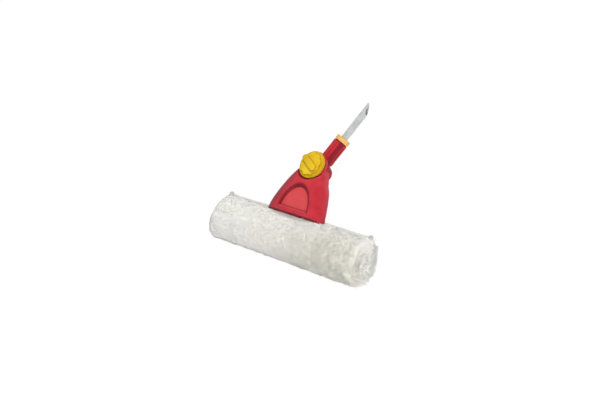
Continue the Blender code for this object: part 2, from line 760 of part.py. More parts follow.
def recess_room():
    """The arch recess: its sides lean outward, and its floor follows the dome above it."""
    rings = []
    for steps in (-2, 1):
        side = RECESS_HALF_WIDTH + steps * RECESS_SIDE_SLOPE
        base = RECESS_BASE - steps * RECESS_SIDE_SLOPE
        top = RECESS_BASE + RECESS_HEIGHT + steps * RECESS_TOP_SLOPE
        rings.append(at_height(arch(side, base, top - base), FAN_CROWN + steps * RECESS_DEPTH))
    room = loft("recess_arch", rings)
    low = RECESS_BASE - 2 * OVERRUN
    high = RECESS_BASE + RECESS_HEIGHT + 2 * OVERRUN
    floor_rings = []
    for y in spread(low, high, 2 * HOLLOW_STATIONS):
        side = dome_side(max(y, FAN_LIP), True, -RECESS_DEPTH)
        floor_rings.append(at_reach([(side[0][0], 0.0)] + side + [(side[-1][0], 0.0)], y))
    return cut(room, loft("recess_floor", floor_rings))


def make_front_shell():
    """Domed front of the holder: arch recess, seat for the knob, toothed ear and screw bosses."""
    pivot = (0, PIVOT_REACH)
    short = -PARTING_GAP / 2
    shell = half_holder("fan_front_shell", True, 0.0, FAN_FOOT, PIVOT_REACH, SHELL_STATIONS, short, RED)
    ear_low = parting_at(PIVOT_REACH - EAR_RADIUS) - short
    join(shell, cylinder("front_ear_blank", EAR_RADIUS, ear_low, EAR_FACE + OVERRUN / 2, pivot))
    cut(shell, hollow_room("front_hollow", True, SCREW_BOSS_RADIUS * 3 / 4))
    cut(shell, bar_channel("front_bar_channel"))
    cut(shell, cylinder("knob_seat", SEAT_RADIUS, EAR_FACE, 2 * FAN_CROWN, pivot))
    cut(shell, swing_room("front_swing_room"))
    cut(shell, cylinder("front_hub_room", HUB_RADIUS + HUB_GAP, -OVERRUN, EAR_INNER, pivot))
    teeth = tooth_ring("ear_teeth", EAR_INNER, EAR_TOOTH_TIP, EAR_INNER + TOOTH_HEIGHT / 2, PIVOT)
    join(shell, teeth)
    cut(shell, cylinder("front_bolt_bore", BORE_RADIUS, 0.0, 2 * FAN_CROWN, pivot, sides=SMALL_SIDES))
    washer_room = WASHER_RADIUS + SEAT_GAP
    cut(shell, cylinder("washer_seat", washer_room, EAR_FACE - WASHER_SINK, 2 * FAN_CROWN, pivot))
    for k, place in enumerate(screw_places()):
        radius = SCREW_SHANK_RADIUS + SEAT_GAP
        top = SCREW_REACH + SEAT_GAP
        cut(shell, cylinder(f"pilot_hole_{k}", radius, -OVERRUN, top, place, sides=SMALL_SIDES))
    cut(shell, recess_room())
    return smooth(shell)


def make_rear_shell():
    """Back of the holder: shallow tray, ear with the bolt's pocket, pegs for the bar, screw recesses."""
    pivot = (0, PIVOT_REACH)
    short = -PARTING_GAP / 2
    shell = half_holder("fan_rear_shell", False, 0.0, FAN_FOOT, PIVOT_REACH, SHELL_STATIONS, short, RED)
    join(shell, cylinder("rear_ear_blank", REAR_EAR_RADIUS, -EAR_BACK, -HUB_BACK, pivot))
    foot = -REST_HEIGHT
    join(shell, cylinder("rear_boss", BOSS_RADIUS, foot, -EAR_BACK + FAN_WALL / 2, pivot))
    pocket_floor = foot + BOLT_HEAD_SINK + BOLT_HEAD_HEIGHT + SEAT_GAP
    pocket = [(x, y + PIVOT_REACH) for x, y in hexagon(BOLT_HEAD_FLATS + 2 * SEAT_GAP)]
    cut(shell, prism("bolt_head_pocket", [pocket], foot - OVERRUN, pocket_floor))
    cut(shell, cylinder("rear_bolt_bore", BORE_RADIUS, foot - OVERRUN, 0.0, pivot, sides=SMALL_SIDES))
    cut(shell, swing_room("rear_swing_room"))
    cut(shell, cylinder("rear_hub_room", HUB_RADIUS + HUB_GAP, -HUB_BACK - HUB_GAP, FAN_CROWN, pivot))
    cut(shell, hollow_room("rear_hollow", False, SCREW_BOSS_RADIUS))
    cut(shell, bar_channel("rear_bar_channel"))
    for side in (-1, 1):
        place = (side * PEG_SPACING / 2, 0)
        low = -CRADLE_HALF + CRADLE_WALL / 2
        high = -BAR_THICKNESS / 2 + 2 * BAR_WALL
        join(shell, cylinder(f"bar_peg_{side}", PEG_RADIUS, low, high, place, sides=SMALL_SIDES))
    for k, place in enumerate(screw_places()):
        shank = SCREW_SHANK_RADIUS + SEAT_GAP
        head = SCREW_HEAD_RADIUS + SEAT_GAP
        cut(shell, cylinder(f"screw_hole_{k}", shank, foot, FAN_CROWN, place, sides=SMALL_SIDES))
        cut(shell, cylinder(f"screw_recess_{k}", head, foot, -SCREW_FLOOR, place, sides=SMALL_SIDES))
    return smooth(shell)


def make_screw(name, place):
    """A pan-head screw from the back: its head in the recess, its shank in the front shell's boss."""
    head_high = -SCREW_FLOOR - SEAT_GAP
    head_low = head_high - SCREW_HEAD_HEIGHT
    profile = [(0, SCREW_REACH), (SCREW_SHANK_RADIUS, SCREW_REACH - SCREW_SHANK_RADIUS)]
    profile += [(SCREW_SHANK_RADIUS, head_high), (SCREW_HEAD_RADIUS, head_high)]
    profile += [(SCREW_HEAD_RADIUS, head_low + SCREW_HEAD_HEIGHT / 2)]
    profile += [(SCREW_HEAD_RADIUS * 3 / 4, head_low), (0, head_low)]
    screw = turned(name, profile, STEEL, place=place, sides=SMALL_SIDES)
    arm = SCREW_HEAD_RADIUS / 5
    reach = SCREW_HEAD_RADIUS * 3 / 5
    tip = arm / 2
    cross = [(arm, arm), (tip, reach), (-tip, reach), (-arm, arm), (-reach, tip), (-reach, -tip)]
    cross += [(-arm, -arm), (-tip, -reach), (tip, -reach), (arm, -arm), (reach, -tip), (reach, tip)]
    cross = [(x + place[0], y + place[1]) for x, y in cross]
    depth = head_low + SCREW_HEAD_HEIGHT / 2
    cut(screw, prism(f"{name}_drive", [cross], head_low - SCREW_HEAD_HEIGHT, depth))
    return smooth(screw)


def fluted(radius, depth):
    """A round outline in X and Z with shallow flutes along the tube."""
    outline = []
    for a in around(FLUTE_COUNT * FLUTE_SIDES):
        wave = (1 + math.cos(FLUTE_COUNT * a)) / 2
        reach = radius - depth * wave**2
        outline.append((reach * math.cos(a), reach * math.sin(a)))
    return outline


def make_socket():
    """Hub on the pivot and a fluted tube, with a spigot for the collar and a bore for the tang."""
    stations = (
        (HUB_RADIUS / 3, TUBE_NECK_RADIUS, 0.0),
        (HUB_RADIUS + HUB_GAP, TUBE_NECK_RADIUS, 0.0),
        (HUB_RADIUS + HUB_GAP + FLUTE_RUNOUT, TUBE_RADIUS, 0.0),
        (FLUTE_START, TUBE_RADIUS, 0.0),
        (FLUTE_START + FLUTE_RUNOUT, TUBE_RADIUS, FLUTE_DEPTH),
        (FLUTE_END - FLUTE_RUNOUT, TUBE_RADIUS, FLUTE_DEPTH),
        (FLUTE_END, TUBE_RADIUS, 0.0),
        (TUBE_LENGTH - COLLAR_ROUND, TUBE_RADIUS, 0.0),
        (TUBE_LENGTH, TUBE_RADIUS - COLLAR_ROUND, 0.0),
        (TUBE_LENGTH, SPIGOT_RADIUS, 0.0),
        (TUBE_LENGTH + SPIGOT_LENGTH, SPIGOT_RADIUS, 0.0),
    )
    rings = [at_reach(fluted(radius, depth), reach) for reach, radius, depth in stations]
    socket = loft("handle_socket", rings, RED, SWIVEL)
    join(socket, cylinder("hub_blank", HUB_RADIUS, -HUB_BACK, HUB_FRONT, parent=SWIVEL))
    teeth = tooth_ring("hub_teeth", HUB_FRONT, TOOTH_TIP, HUB_FRONT - TOOTH_HEIGHT / 2, SWIVEL)
    join(socket, teeth)
    cut(socket, cylinder("hub_bore", BORE_RADIUS, -FAN_CROWN, FAN_CROWN, parent=SWIVEL, sides=SMALL_SIDES))
    bore = obround(TANG_ROOT_WIDTH + 2 * SEAT_GAP, TANG_ROOT_THICKNESS + 2 * SEAT_GAP)
    end = TUBE_LENGTH + SPIGOT_LENGTH + OVERRUN
    cut(socket, prism("tang_bore", [bore], TANG_START - SEAT_GAP, end, parent=SWIVEL, along="Y"))
    return smooth(socket)


def make_collar():
    """A ring over the spigot, closed at its far end round the tang."""
    start = TUBE_LENGTH + SEAT_GAP
    profile = [
        (0, COLLAR_END),
        (COLLAR_RADIUS - COLLAR_ROUND, COLLAR_END),
        (COLLAR_RADIUS - COLLAR_ROUND / 4, COLLAR_END - COLLAR_ROUND / 4),
        (COLLAR_RADIUS, COLLAR_END - COLLAR_ROUND),
        (COLLAR_RADIUS, start + COLLAR_ROUND / 2),
        (COLLAR_RADIUS - COLLAR_ROUND / 2, start),
        (0, start),
    ]
    collar = turned("collar_ring", profile, YELLOW, SWIVEL)
    collar.rotation_euler = (math.radians(-90.0), 0, 0)
    room = circle(SPIGOT_RADIUS + SEAT_GAP)
    cut(collar, prism("spigot_room", [room], start - OVERRUN, COLLAR_INNER_END, parent=SWIVEL, along="Y"))
    hole = obround(TANG_ROOT_WIDTH + 2 * SEAT_GAP, TANG_ROOT_THICKNESS + 2 * SEAT_GAP)
    cut(collar, prism("collar_hole", [hole], start, COLLAR_END + OVERRUN, parent=SWIVEL, along="Y"))
    return smooth(collar)


def make_tang():
    """Rolled steel: a flattened tube with its seam open at the back, slanted at its tip.

    Its root is drawn in, so that a shoulder stops it on the collar.
    """
    shoulder = COLLAR_END + SEAT_GAP
    root = obround(TANG_ROOT_WIDTH, TANG_ROOT_THICKNESS)
    blade = obround(TANG_WIDTH, TANG_THICKNESS)
    rings = [at_reach(root, TANG_START), at_reach(root, shoulder)]
    rings += [at_reach(blade, shoulder), at_reach(blade, TANG_END)]
    tang = loft("tang", rings, STEEL, SWIVEL)
    inner = obround(TANG_WIDTH - 2 * TANG_WALL, TANG_THICKNESS - 2 * TANG_WALL)
    beyond = TANG_END + OVERRUN
    cut(tang, prism("tang_room", [inner], TANG_START - OVERRUN, beyond, parent=SWIVEL, along="Y"))
    half = TANG_WIDTH / 2
    slant = [(-half, TANG_END), (half, TANG_END - TANG_SLANT)]
    slope = TANG_SLANT / TANG_WIDTH
    tip = [
        (-half - OVERRUN, TANG_END + OVERRUN * slope),
        (half + OVERRUN, slant[1][1] - OVERRUN * slope),
        (half + OVERRUN, TANG_END + TANG_SLANT),
        (-half - OVERRUN, TANG_END + TANG_SLANT),
    ]
    cut(tang, prism("tang_slant", [tip], -TANG_THICKNESS, TANG_THICKNESS, parent=SWIVEL))
    seam = [(-TANG_SEAM / 2, TANG_START - OVERRUN), (TANG_SEAM / 2, TANG_START - OVERRUN)]
    seam += [(TANG_SEAM / 2, beyond), (-TANG_SEAM / 2, beyond)]
    cut(tang, prism("tang_seam", [seam], -TANG_THICKNESS, -TANG_WALL, parent=SWIVEL))
    return smooth(tang)


def make_bolt():
    """Hexagon head in the back ear's pocket, and a shank through the hub up into the knob."""
    head_low = -REST_HEIGHT + BOLT_HEAD_SINK
    head_high = head_low + BOLT_HEAD_HEIGHT
    shank_end = KNOB_GRIP_HIGH - KNOB_ROOF
    head = hexagon(BOLT_HEAD_FLATS, BOLT_SIDES)
    lead = BOLT_RADIUS / 4
    shank = circle(BOLT_RADIUS, BOLT_SIDES)
    tip = circle(BOLT_RADIUS - lead, BOLT_SIDES)
    rings = [at_height(head, head_low), at_height(head, head_high), at_height(shank, head_high)]
    rings += [at_height(shank, shank_end - lead), at_height(tip, shank_end)]
    return smooth(loft("pivot_bolt", rings, STEEL, PIVOT))


def make_washer():
    low = WASHER_LOW
    high = low + WASHER_THICKNESS
    inner = BORE_RADIUS
    ring = [(WASHER_RADIUS, high), (WASHER_RADIUS, low), (inner, low), (inner, high)]
    return smooth(turned("pressure_washer", ring, STEEL, PIVOT, closed=True))


def lobed(radius, depth):
    """A grip's outline: round lobes with scallops between them."""
    outline = []
    for a in around(KNOB_LOBES * LOBE_SIDES):
        wave = abs(math.sin(KNOB_LOBES * a / 2))
        reach = radius - depth * (1 - wave)
        outline.append((reach * math.cos(a), reach * math.sin(a)))
    return outline


def knob_bar(shrink):
    """The outline of the knob's finger bar, turned to its rest place."""
    turn = math.radians(KNOB_BAR_TURN_DEG)
    outline = []
    for x, y in obround(KNOB_BAR_LENGTH - 2 * shrink, KNOB_BAR_WIDTH - 2 * shrink, ROUND_SIDES):
        outline.append((x * math.cos(turn) - y * math.sin(turn), x * math.sin(turn) + y * math.cos(turn)))
    return outline


def make_knob():
    """Round flange, lobed grip and finger bar, with a pocket for the nut and a bore for the bolt."""
    flange_high = KNOB_LOW + KNOB_FLANGE
    edge = KNOB_ROUND / 2
    sides = KNOB_LOBES * LOBE_SIDES
    rings = [
        at_height(circle(KNOB_RADIUS - edge, sides), KNOB_LOW),
        at_height(circle(KNOB_RADIUS, sides), KNOB_LOW + edge),
        at_height(circle(KNOB_RADIUS, sides), flange_high - edge),
        at_height(circle(KNOB_RADIUS - edge, sides), flange_high),
        at_height(lobed(KNOB_GRIP_RADIUS, KNOB_LOBE_DEPTH), flange_high),
        at_height(lobed(KNOB_GRIP_RADIUS, KNOB_LOBE_DEPTH), KNOB_GRIP_HIGH - KNOB_ROUND),
    ]
    for a in spread(math.radians(30.0), math.radians(90.0), 3):
        shrink = KNOB_ROUND * (1 - math.cos(a))
        height = KNOB_GRIP_HIGH - KNOB_ROUND * (1 - math.sin(a))
        rings.append(at_height(lobed(KNOB_GRIP_RADIUS - shrink, KNOB_LOBE_DEPTH), height))
    knob = loft("clamp_knob", rings, YELLOW, PIVOT)
    bar_rings = [at_height(knob_bar(0.0), KNOB_GRIP_HIGH - KNOB_ROUND)]
    for a in spread(0.0, math.radians(90.0), 4):
        shrink = KNOB_ROUND * (1 - math.cos(a))
        height = KNOB_GRIP_HIGH + KNOB_BAR_HEIGHT - KNOB_ROUND * (1 - math.sin(a))
        bar_rings.append(at_height(knob_bar(shrink), height))
    join(knob, loft("knob_bar", bar_rings, parent=PIVOT))
    bore_high = KNOB_GRIP_HIGH - KNOB_ROOF + 2 * SEAT_GAP
    cut(knob, cylinder("knob_bore", BORE_RADIUS, 0.0, bore_high, parent=PIVOT, sides=SMALL_SIDES))
    pocket = hexagon(BOLT_HEAD_FLATS + 2 * SEAT_GAP)
    pocket_high = KNOB_LOW + SEAT_GAP + NUT_HEIGHT + SEAT_GAP
    cut(knob, prism("nut_pocket", [pocket], 0.0, pocket_high, parent=PIVOT))
    return smooth(knob)


def make_nut():
    low = KNOB_LOW + SEAT_GAP
    outlines = [hexagon(BOLT_HEAD_FLATS), circle(BORE_RADIUS)]
    return prism("knob_nut", outlines, low, low + NUT_HEIGHT, STEEL, PIVOT)


def build():
    make_carrier_bar()
    make_end_cap("end_cap_left", -1)
    make_end_cap("end_cap_right", 1)
    make_sleeve()
    for side, word in ((-1, "left"), (1, "right")):
        make_hem(f"front_hem_{word}", side, True)
        make_hem(f"rear_hem_{word}", side, False)
        make_press_stud(side, word)
    make_front_shell()
    make_rear_shell()
    for k, place in enumerate(screw_places()):
        make_screw(f"shell_screw_{k + 1}", place)
    make_socket()
    make_collar()
    make_tang()
    make_bolt()
    make_washer()
    make_knob()
    make_nut()


build()
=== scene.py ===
import json
import math

import bpy
import numpy as np
from mathutils import Matrix, Vector, noise
from mathutils.kdtree import KDTree


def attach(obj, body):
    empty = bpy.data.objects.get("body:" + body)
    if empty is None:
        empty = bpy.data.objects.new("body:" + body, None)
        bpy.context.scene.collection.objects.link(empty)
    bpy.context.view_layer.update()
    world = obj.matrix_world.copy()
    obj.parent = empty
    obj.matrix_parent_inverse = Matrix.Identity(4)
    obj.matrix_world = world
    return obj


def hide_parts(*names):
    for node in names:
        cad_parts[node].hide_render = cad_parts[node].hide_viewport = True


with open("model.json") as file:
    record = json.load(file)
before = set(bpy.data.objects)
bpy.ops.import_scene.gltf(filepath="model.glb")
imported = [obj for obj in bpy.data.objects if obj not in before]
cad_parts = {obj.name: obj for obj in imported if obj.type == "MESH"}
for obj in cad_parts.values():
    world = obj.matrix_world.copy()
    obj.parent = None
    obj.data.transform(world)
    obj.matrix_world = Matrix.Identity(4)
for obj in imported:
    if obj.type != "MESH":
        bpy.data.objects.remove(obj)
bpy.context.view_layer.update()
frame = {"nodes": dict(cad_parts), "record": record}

# Looks of the window washer head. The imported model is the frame, and everything here is in its metres.
# The fleece and its hems replace their plain solids. Every other node keeps its shape and gets a material.

NODES = frame["nodes"]
SEED = 7


# Camera and room

CAMERA_RIGHT = Vector((0.7356, 0.4096, -0.5395))
CAMERA_UP = Vector((-0.2242, 0.8988, 0.3767))
CAMERA_ASIDE, CAMERA_ABOVE, CAMERA_AWAY = 0.01483, 0.04793, 1.396
CAMERA_AIM = Vector((0, 0, 0.018))
SENSOR_WIDTH_MM, LENS_MM = 36, 66.06
CLIP_NEAR, CLIP_FAR = 0.01, 50

WHITE = (1, 1, 1, 1)
SKY_COLOUR, SKY_STRENGTH = (0.96, 0.98, 1.0, 1), 0.58
SURROUND_STRENGTH = 1.0
FLOOR_REACH, FLOOR_DROP = 12, 0.0004
FLOOR_COLOUR, FLOOR_ROUGHNESS = (0.80, 0.80, 0.79, 1), 0.9
FLOOR_GLOW, FLOOR_GLOW_SHARE = 1.06, 0.86

# Each lamp's name, place, width in metres and power in watts
LAMPS = (
    ("key", (0.15, 1.05, 1.10), 0.8, 15.0),
    ("fill", (1.35, -0.60, 0.80), 1.2, 18.0),
    ("front", (0.2, -1.3, 0.5), 1.0, 3.5),
)
LAMP_AIM = Vector((0, 0.04, 0.02))


def make_camera():
    """The photograph's viewpoint: over the holder's front, from the sleeve's right end."""
    right, up = CAMERA_RIGHT, CAMERA_UP
    back = right.cross(up).normalized()
    place = right * CAMERA_ASIDE + up * CAMERA_ABOVE + back * CAMERA_AWAY + CAMERA_AIM
    data = bpy.data.cameras.new("photo_camera")
    data.sensor_width = SENSOR_WIDTH_MM
    data.lens = LENS_MM
    data.clip_start = CLIP_NEAR
    data.clip_end = CLIP_FAR
    camera = bpy.data.objects.new("photo_camera", data)
    bpy.context.scene.collection.objects.link(camera)
    axes = Matrix((right.normalized(), up.normalized(), back)).transposed()
    camera.matrix_world = Matrix.Translation(place) @ axes.to_4x4()
    bpy.context.scene.camera = camera


def seen_directly(nodes, links):
    """1 for rays that only show the room: the camera's, reflections and what glass lets through."""
    path = nodes.new("ShaderNodeLightPath")
    seen = path.outputs["Is Camera Ray"]
    for name in ("Is Glossy Ray", "Is Transmission Ray"):
        both = nodes.new("ShaderNodeMath")
        both.operation = "MAXIMUM"
        links.new(seen, both.inputs[0])
        links.new(path.outputs[name], both.inputs[1])
        seen = both.outputs[0]
    return seen


def make_world():
    """Soft light from all round, and a white surround for the rays that see it directly."""
    world = bpy.data.worlds.new("studio")
    bpy.context.scene.world = world
    world.use_nodes = True
    nodes, links = world.node_tree.nodes, world.node_tree.links
    lit = nodes["Background"]
    lit.inputs["Color"].default_value = SKY_COLOUR
    lit.inputs["Strength"].default_value = SKY_STRENGTH
    white = nodes.new("ShaderNodeBackground")
    white.inputs["Color"].default_value = WHITE
    white.inputs["Strength"].default_value = SURROUND_STRENGTH
    mix = nodes.new("ShaderNodeMixShader")
    links.new(seen_directly(nodes, links), mix.inputs["Fac"])
    links.new(lit.outputs[0], mix.inputs[1])
    links.new(white.outputs[0], mix.inputs[2])
    links.new(mix.outputs[0], nodes["World Output"].inputs["Surface"])


def floor_paint():
    """A pale matt floor that glows nearly white for direct rays and keeps a faint shadow."""
    paint = bpy.data.materials.new("studio_floor")
    paint.use_nodes = True
    nodes, links = paint.node_tree.nodes, paint.node_tree.links
    base = nodes["Principled BSDF"]
    base.inputs["Base Color"].default_value = FLOOR_COLOUR
    base.inputs["Roughness"].default_value = FLOOR_ROUGHNESS
    base.inputs["Specular IOR Level"].default_value = 0.0
    glow = nodes.new("ShaderNodeEmission")
    glow.inputs["Color"].default_value = WHITE
    glow.inputs["Strength"].default_value = FLOOR_GLOW
    share = nodes.new("ShaderNodeMath")
    share.operation = "MULTIPLY"
    links.new(seen_directly(nodes, links), share.inputs[0])
    share.inputs[1].default_value = FLOOR_GLOW_SHARE
    mix = nodes.new("ShaderNodeMixShader")
    links.new(share.outputs[0], mix.inputs["Fac"])
    links.new(base.outputs[0], mix.inputs[1])
    links.new(glow.outputs[0], mix.inputs[2])
    links.new(mix.outputs[0], nodes["Material Output"].inputs["Surface"])
    return paint


def make_floor():
    reach = FLOOR_REACH
    mesh = bpy.data.meshes.new("studio_floor")
    corners = [(-reach, -reach, 0), (reach, -reach, 0), (reach, reach, 0), (-reach, reach, 0)]
    mesh.from_pydata(corners, [], [(0, 1, 2, 3)])
    floor = bpy.data.objects.new("studio_floor", mesh)
    bpy.context.scene.collection.objects.link(floor)
    floor.location.z = -FLOOR_DROP
    mesh.materials.append(floor_paint())


def make_lamps():
    """Round area lamps, all turned to the head."""
    for name, place, size, power in LAMPS:
        data = bpy.data.lights.new(name, "AREA")
        data.shape = "DISK"
        data.size = size
        data.energy = power
        lamp = bpy.data.objects.new(name, data)
        bpy.context.scene.collection.objects.link(lamp)
        lamp.location = place
        lamp.visible_glossy = False
        lamp.rotation_mode = "QUATERNION"
        lamp.rotation_quaternion = (LAMP_AIM - Vector(place)).to_track_quat("-Z", "Y")


# Materials

# Linear colours. The plastics have a plain, a paler and a darker tone each
RED = ((0.43, 0.023, 0.036), (0.48, 0.035, 0.048), (0.36, 0.014, 0.025))
SOCKET_RED = ((0.40, 0.014, 0.024), (0.48, 0.022, 0.034), (0.30, 0.008, 0.016))
YELLOW = ((0.57, 0.37, 0.008), (0.66, 0.46, 0.015), (0.46, 0.26, 0.004))
COLLAR_YELLOW = ((0.57, 0.35, 0.10), (0.63, 0.41, 0.14), (0.49, 0.28, 0.06))
GREY = ((0.30, 0.30, 0.29), (0.35, 0.35, 0.34), (0.24, 0.24, 0.23))
# Painted shade: the darker tones that steep sides, the recess's walls, the lip's underside and the left flank
# are turned to
PAINTED_SHADE_RED, PAINTED_SHADE_SOCKET_RED, PAINTED_SHADE_YELLOW = (0.16, 0.003, 0.012), (0.14, 0.003, 0.010), (0.30, 0.13, 0.003)
# Painted light: the paler tone that the recess's floor is turned to
RECESS_PAINTED_LIGHT_RED = (0.62, 0.085, 0.080)

# The metals have a plain and a darker tone each
STUD_METAL = ((0.64, 0.64, 0.62), (0.48, 0.48, 0.46))
TANG_STEEL = ((0.66, 0.67, 0.67), (0.50, 0.51, 0.51))
ZINC_STEEL = ((0.52, 0.52, 0.50), (0.36, 0.36, 0.34))
ROUND_MARKS, LONG_MARKS = (60.0, 60.0, 60.0), (70.0, 6.0, 70.0)

# The last of these is painted shade for the weave's hollows
TAPE_DARK, TAPE_PALE, TAPE_HOLLOW_SHADE = (0.70, 0.69, 0.64), (0.83, 0.82, 0.77), (0.52, 0.51, 0.47)
THREAD_PITCH = 0.0011
PILE_ROOTS, PILE_MIDDLE, PILE_TIPS = (0.92, 0.89, 0.83), (0.96, 0.94, 0.90), (0.97, 0.96, 0.93)
PILE_LOCK, PILE_PATCH = (0.92, 0.89, 0.82), (0.90, 0.89, 0.81)
# The first of these is a darker, yellower tone for the lower right; the second is painted shade for the lower
# front edge
PILE_LOWER_RIGHT, PILE_EDGE_SHADE = (0.61, 0.595, 0.485), (0.36, 0.35, 0.31)

# The recess is as wide at its base as twice its half width, and the power shapes its arch. They place the
# painted shade on its walls and the painted light on its floor
ARCH_HALF_WIDTH, ARCH_BASE, ARCH_HEIGHT, ARCH_POWER = 0.0244, 0.0335, 0.0340, 1.667
# Painted shade on steep faces is strongest left of FLANK_X, which moves by NECK_STEP from NECK_Y up
FLANK_X, NECK_Y, NECK_STEP = 0.0262, 0.070, -0.022


class Surface:
    """A material with a Principled shader, and short ways to drive it from patterns."""

    def __init__(self, name, **constants):
        self.material = bpy.data.materials.new(name)
        self.material.use_nodes = True
        self.nodes = self.material.node_tree.nodes
        self.links = self.material.node_tree.links
        self.shader = self.nodes["Principled BSDF"]
        for key, value in constants.items():
            self.shader.inputs[key.replace("_", " ")].default_value = value
        self.place = self.node("ShaderNodeTexCoord").outputs["Object"]

    def node(self, kind, **values):
        made = self.nodes.new(kind)
        for key, value in values.items():
            setattr(made, key, value)
        return made

    def feed(self, socket, value):
        """Gives a socket another socket's output or a constant."""
        if isinstance(value, bpy.types.NodeSocket):
            self.links.new(value, socket)
        else:
            socket.default_value = value

    def stretched(self, scale):
        """The object's own coordinates, scaled by axis."""
        mapping = self.node("ShaderNodeMapping")
        self.links.new(self.place, mapping.inputs["Vector"])
        mapping.inputs["Scale"].default_value = scale
        return mapping.outputs["Vector"]

    def noise(self, scale, detail=3.0, roughness=0.5, vector=None, distortion=0.0):
        made = self.node("ShaderNodeTexNoise")
        self.links.new(vector or self.place, made.inputs["Vector"])
        made.inputs["Scale"].default_value = scale
        made.inputs["Detail"].default_value = detail
        made.inputs["Roughness"].default_value = roughness
        made.inputs["Distortion"].default_value = distortion
        return made.outputs["Fac"]

    def ramp(self, value, *stops):
        """A colour ramp, or with plain numbers a curve, through stops of (place, colour or number)."""
        made = self.node("ShaderNodeValToRGB")
        self.links.new(value, made.inputs["Fac"])
        elements = made.color_ramp.elements
        for k, (place, colour) in enumerate(stops):
            if k < 2:
                elements[k].position = place
            else:
                elements.new(place)
        for element, (_, colour) in zip(elements, stops, strict=True):
            element.color = (*colour, 1) if hasattr(colour, "__len__") else (colour, colour, colour, 1)
        return made.outputs["Color"]

    def mix(self, share, first, second):
        """Turns a colour by a share from the first to the second."""
        made = self.node("ShaderNodeMix", data_type="RGBA")
        sockets = (made.inputs[0], made.inputs[6], made.inputs[7])
        for socket, value in zip(sockets, (share, first, second), strict=True):
            self.feed(socket, value if isinstance(value, (bpy.types.NodeSocket, float, int)) else (*value, 1))
        return made.outputs[2]

    def math(self, operation, first, second=0.0, third=0.0):
        made = self.node("ShaderNodeMath", operation=operation)
        for socket, value in zip(made.inputs, (first, second, third), strict=True):
            self.feed(socket, value)
        return made.outputs[0]

    def axes(self, vector):
        """The X, Y and Z of a vector, as sockets."""
        made = self.node("ShaderNodeSeparateXYZ")
        self.links.new(vector, made.inputs[0])
        return made.outputs["X"], made.outputs["Y"], made.outputs["Z"]

    def span(self, value, low, high):
        """Takes a value from 0 to 1 to a value from low to high."""
        made = self.node("ShaderNodeMapRange")
        self.links.new(value, made.inputs["Value"])
        made.inputs["To Min"].default_value = low
        made.inputs["To Max"].default_value = high
        return made.outputs["Result"]

    def bumps(self, *layers, edge=0.0):
        """Bump layers of (height value, depth in metres, strength), over edges rounded by edge metres."""
        normal = None
        if edge:
            rounded = self.node("ShaderNodeBevel", samples=4)
            rounded.inputs["Radius"].default_value = edge
            normal = rounded.outputs["Normal"]
        for height, depth, strength in layers:
            made = self.node("ShaderNodeBump")
            made.inputs["Distance"].default_value = depth
            made.inputs["Strength"].default_value = strength
            self.links.new(height, made.inputs["Height"])
            if normal is not None:
                self.links.new(normal, made.inputs["Normal"])
            normal = made.outputs["Normal"]
        self.links.new(normal, self.shader.inputs["Normal"])

    def set(self, name, value):
        self.feed(self.shader.inputs[name], value)


def as_share(made, value, factor=0.5):
    """Moves a value round 0 to one round 0.5, for a ramp."""
    return made.math("MULTIPLY_ADD", value, factor, 0.5)


def facing(made):
    """The X, Y and Z of the normal, in the object's own axes."""
    return made.axes(made.node("ShaderNodeTexCoord").outputs["Normal"])


def steep_side_shade(made, upward):
    """The share of painted shade a face gets by how steep it stands, from the upward part of its normal: 0
    where it lies flat.
    """
    rise = as_share(made, upward)
    return made.ramp(rise, (0.20, 0.0), (0.36, 0.3), (0.56, 0.3), (0.70, 0.9), (0.88, 0.8), (0.96, 0.0))


def painted_side_shade(deep):
    """Painted shade: turns every steep side to the darker shade tone."""
    def shade(made, tone):
        return made.mix(steep_side_shade(made, facing(made)[2]), tone, deep)
    return shade


def arch_distance(made, x, y):
    """0.5 on the recess's edge, less inside it and more outside."""
    wide = made.math("POWER", made.math("ABSOLUTE", made.math("DIVIDE", x, ARCH_HALF_WIDTH)), 2.0)
    climb = made.math("DIVIDE", made.math("SUBTRACT", y, ARCH_BASE), ARCH_HEIGHT)
    tall = made.math("POWER", made.math("MAXIMUM", climb, 0.0), ARCH_POWER)
    return made.math("MULTIPLY", made.math("ADD", wide, tall), 0.5)


def holder_painted_shade_and_light(made, tone):
    """Paints shade on the recess's walls, the lip's underside and the left flank, and paints light on the
    recess's floor.
    """
    across, along, upward = facing(made)
    x, y, _ = made.axes(made.place)
    # Painted shade on steep faces, on faces turned left and on faces turned down
    limit = made.math("MULTIPLY_ADD", made.math("GREATER_THAN", y, NECK_Y), NECK_STEP, FLANK_X)
    share = made.math("MULTIPLY_ADD", made.math("LESS_THAN", x, limit), 0.80, 0.20)
    steep = made.math("MULTIPLY", steep_side_shade(made, upward), share)
    left = made.ramp(as_share(made, across), (0.30, 0.8), (0.45, 0.0))
    down = made.ramp(as_share(made, along), (0.20, 1.0), (0.42, 0.0))
    sides = made.math("MAXIMUM", steep, made.math("MAXIMUM", left, down))
    # Painted shade in a band along the recess's walls
    ring = arch_distance(made, x, y)
    wall_shade = made.ramp(ring, (0.36, 0.0), (0.46, 0.55), (0.50, 0.85), (0.535, 0.65), (0.57, 0.0))
    floor = made.ramp(ring, (0.40, 0.45), (0.47, 0.0))
    over_base, upturned = made.math("GREATER_THAN", y, ARCH_BASE), made.math("GREATER_THAN", upward, 0.3)
    front = made.math("MULTIPLY", over_base, upturned)
    # Painted light: the recess's floor turned paler
    tone = made.mix(made.math("MULTIPLY", floor, front), tone, RECESS_PAINTED_LIGHT_RED)
    deep = made.math("MAXIMUM", sides, made.math("MULTIPLY", wall_shade, front))
    return made.mix(deep, tone, PAINTED_SHADE_RED)


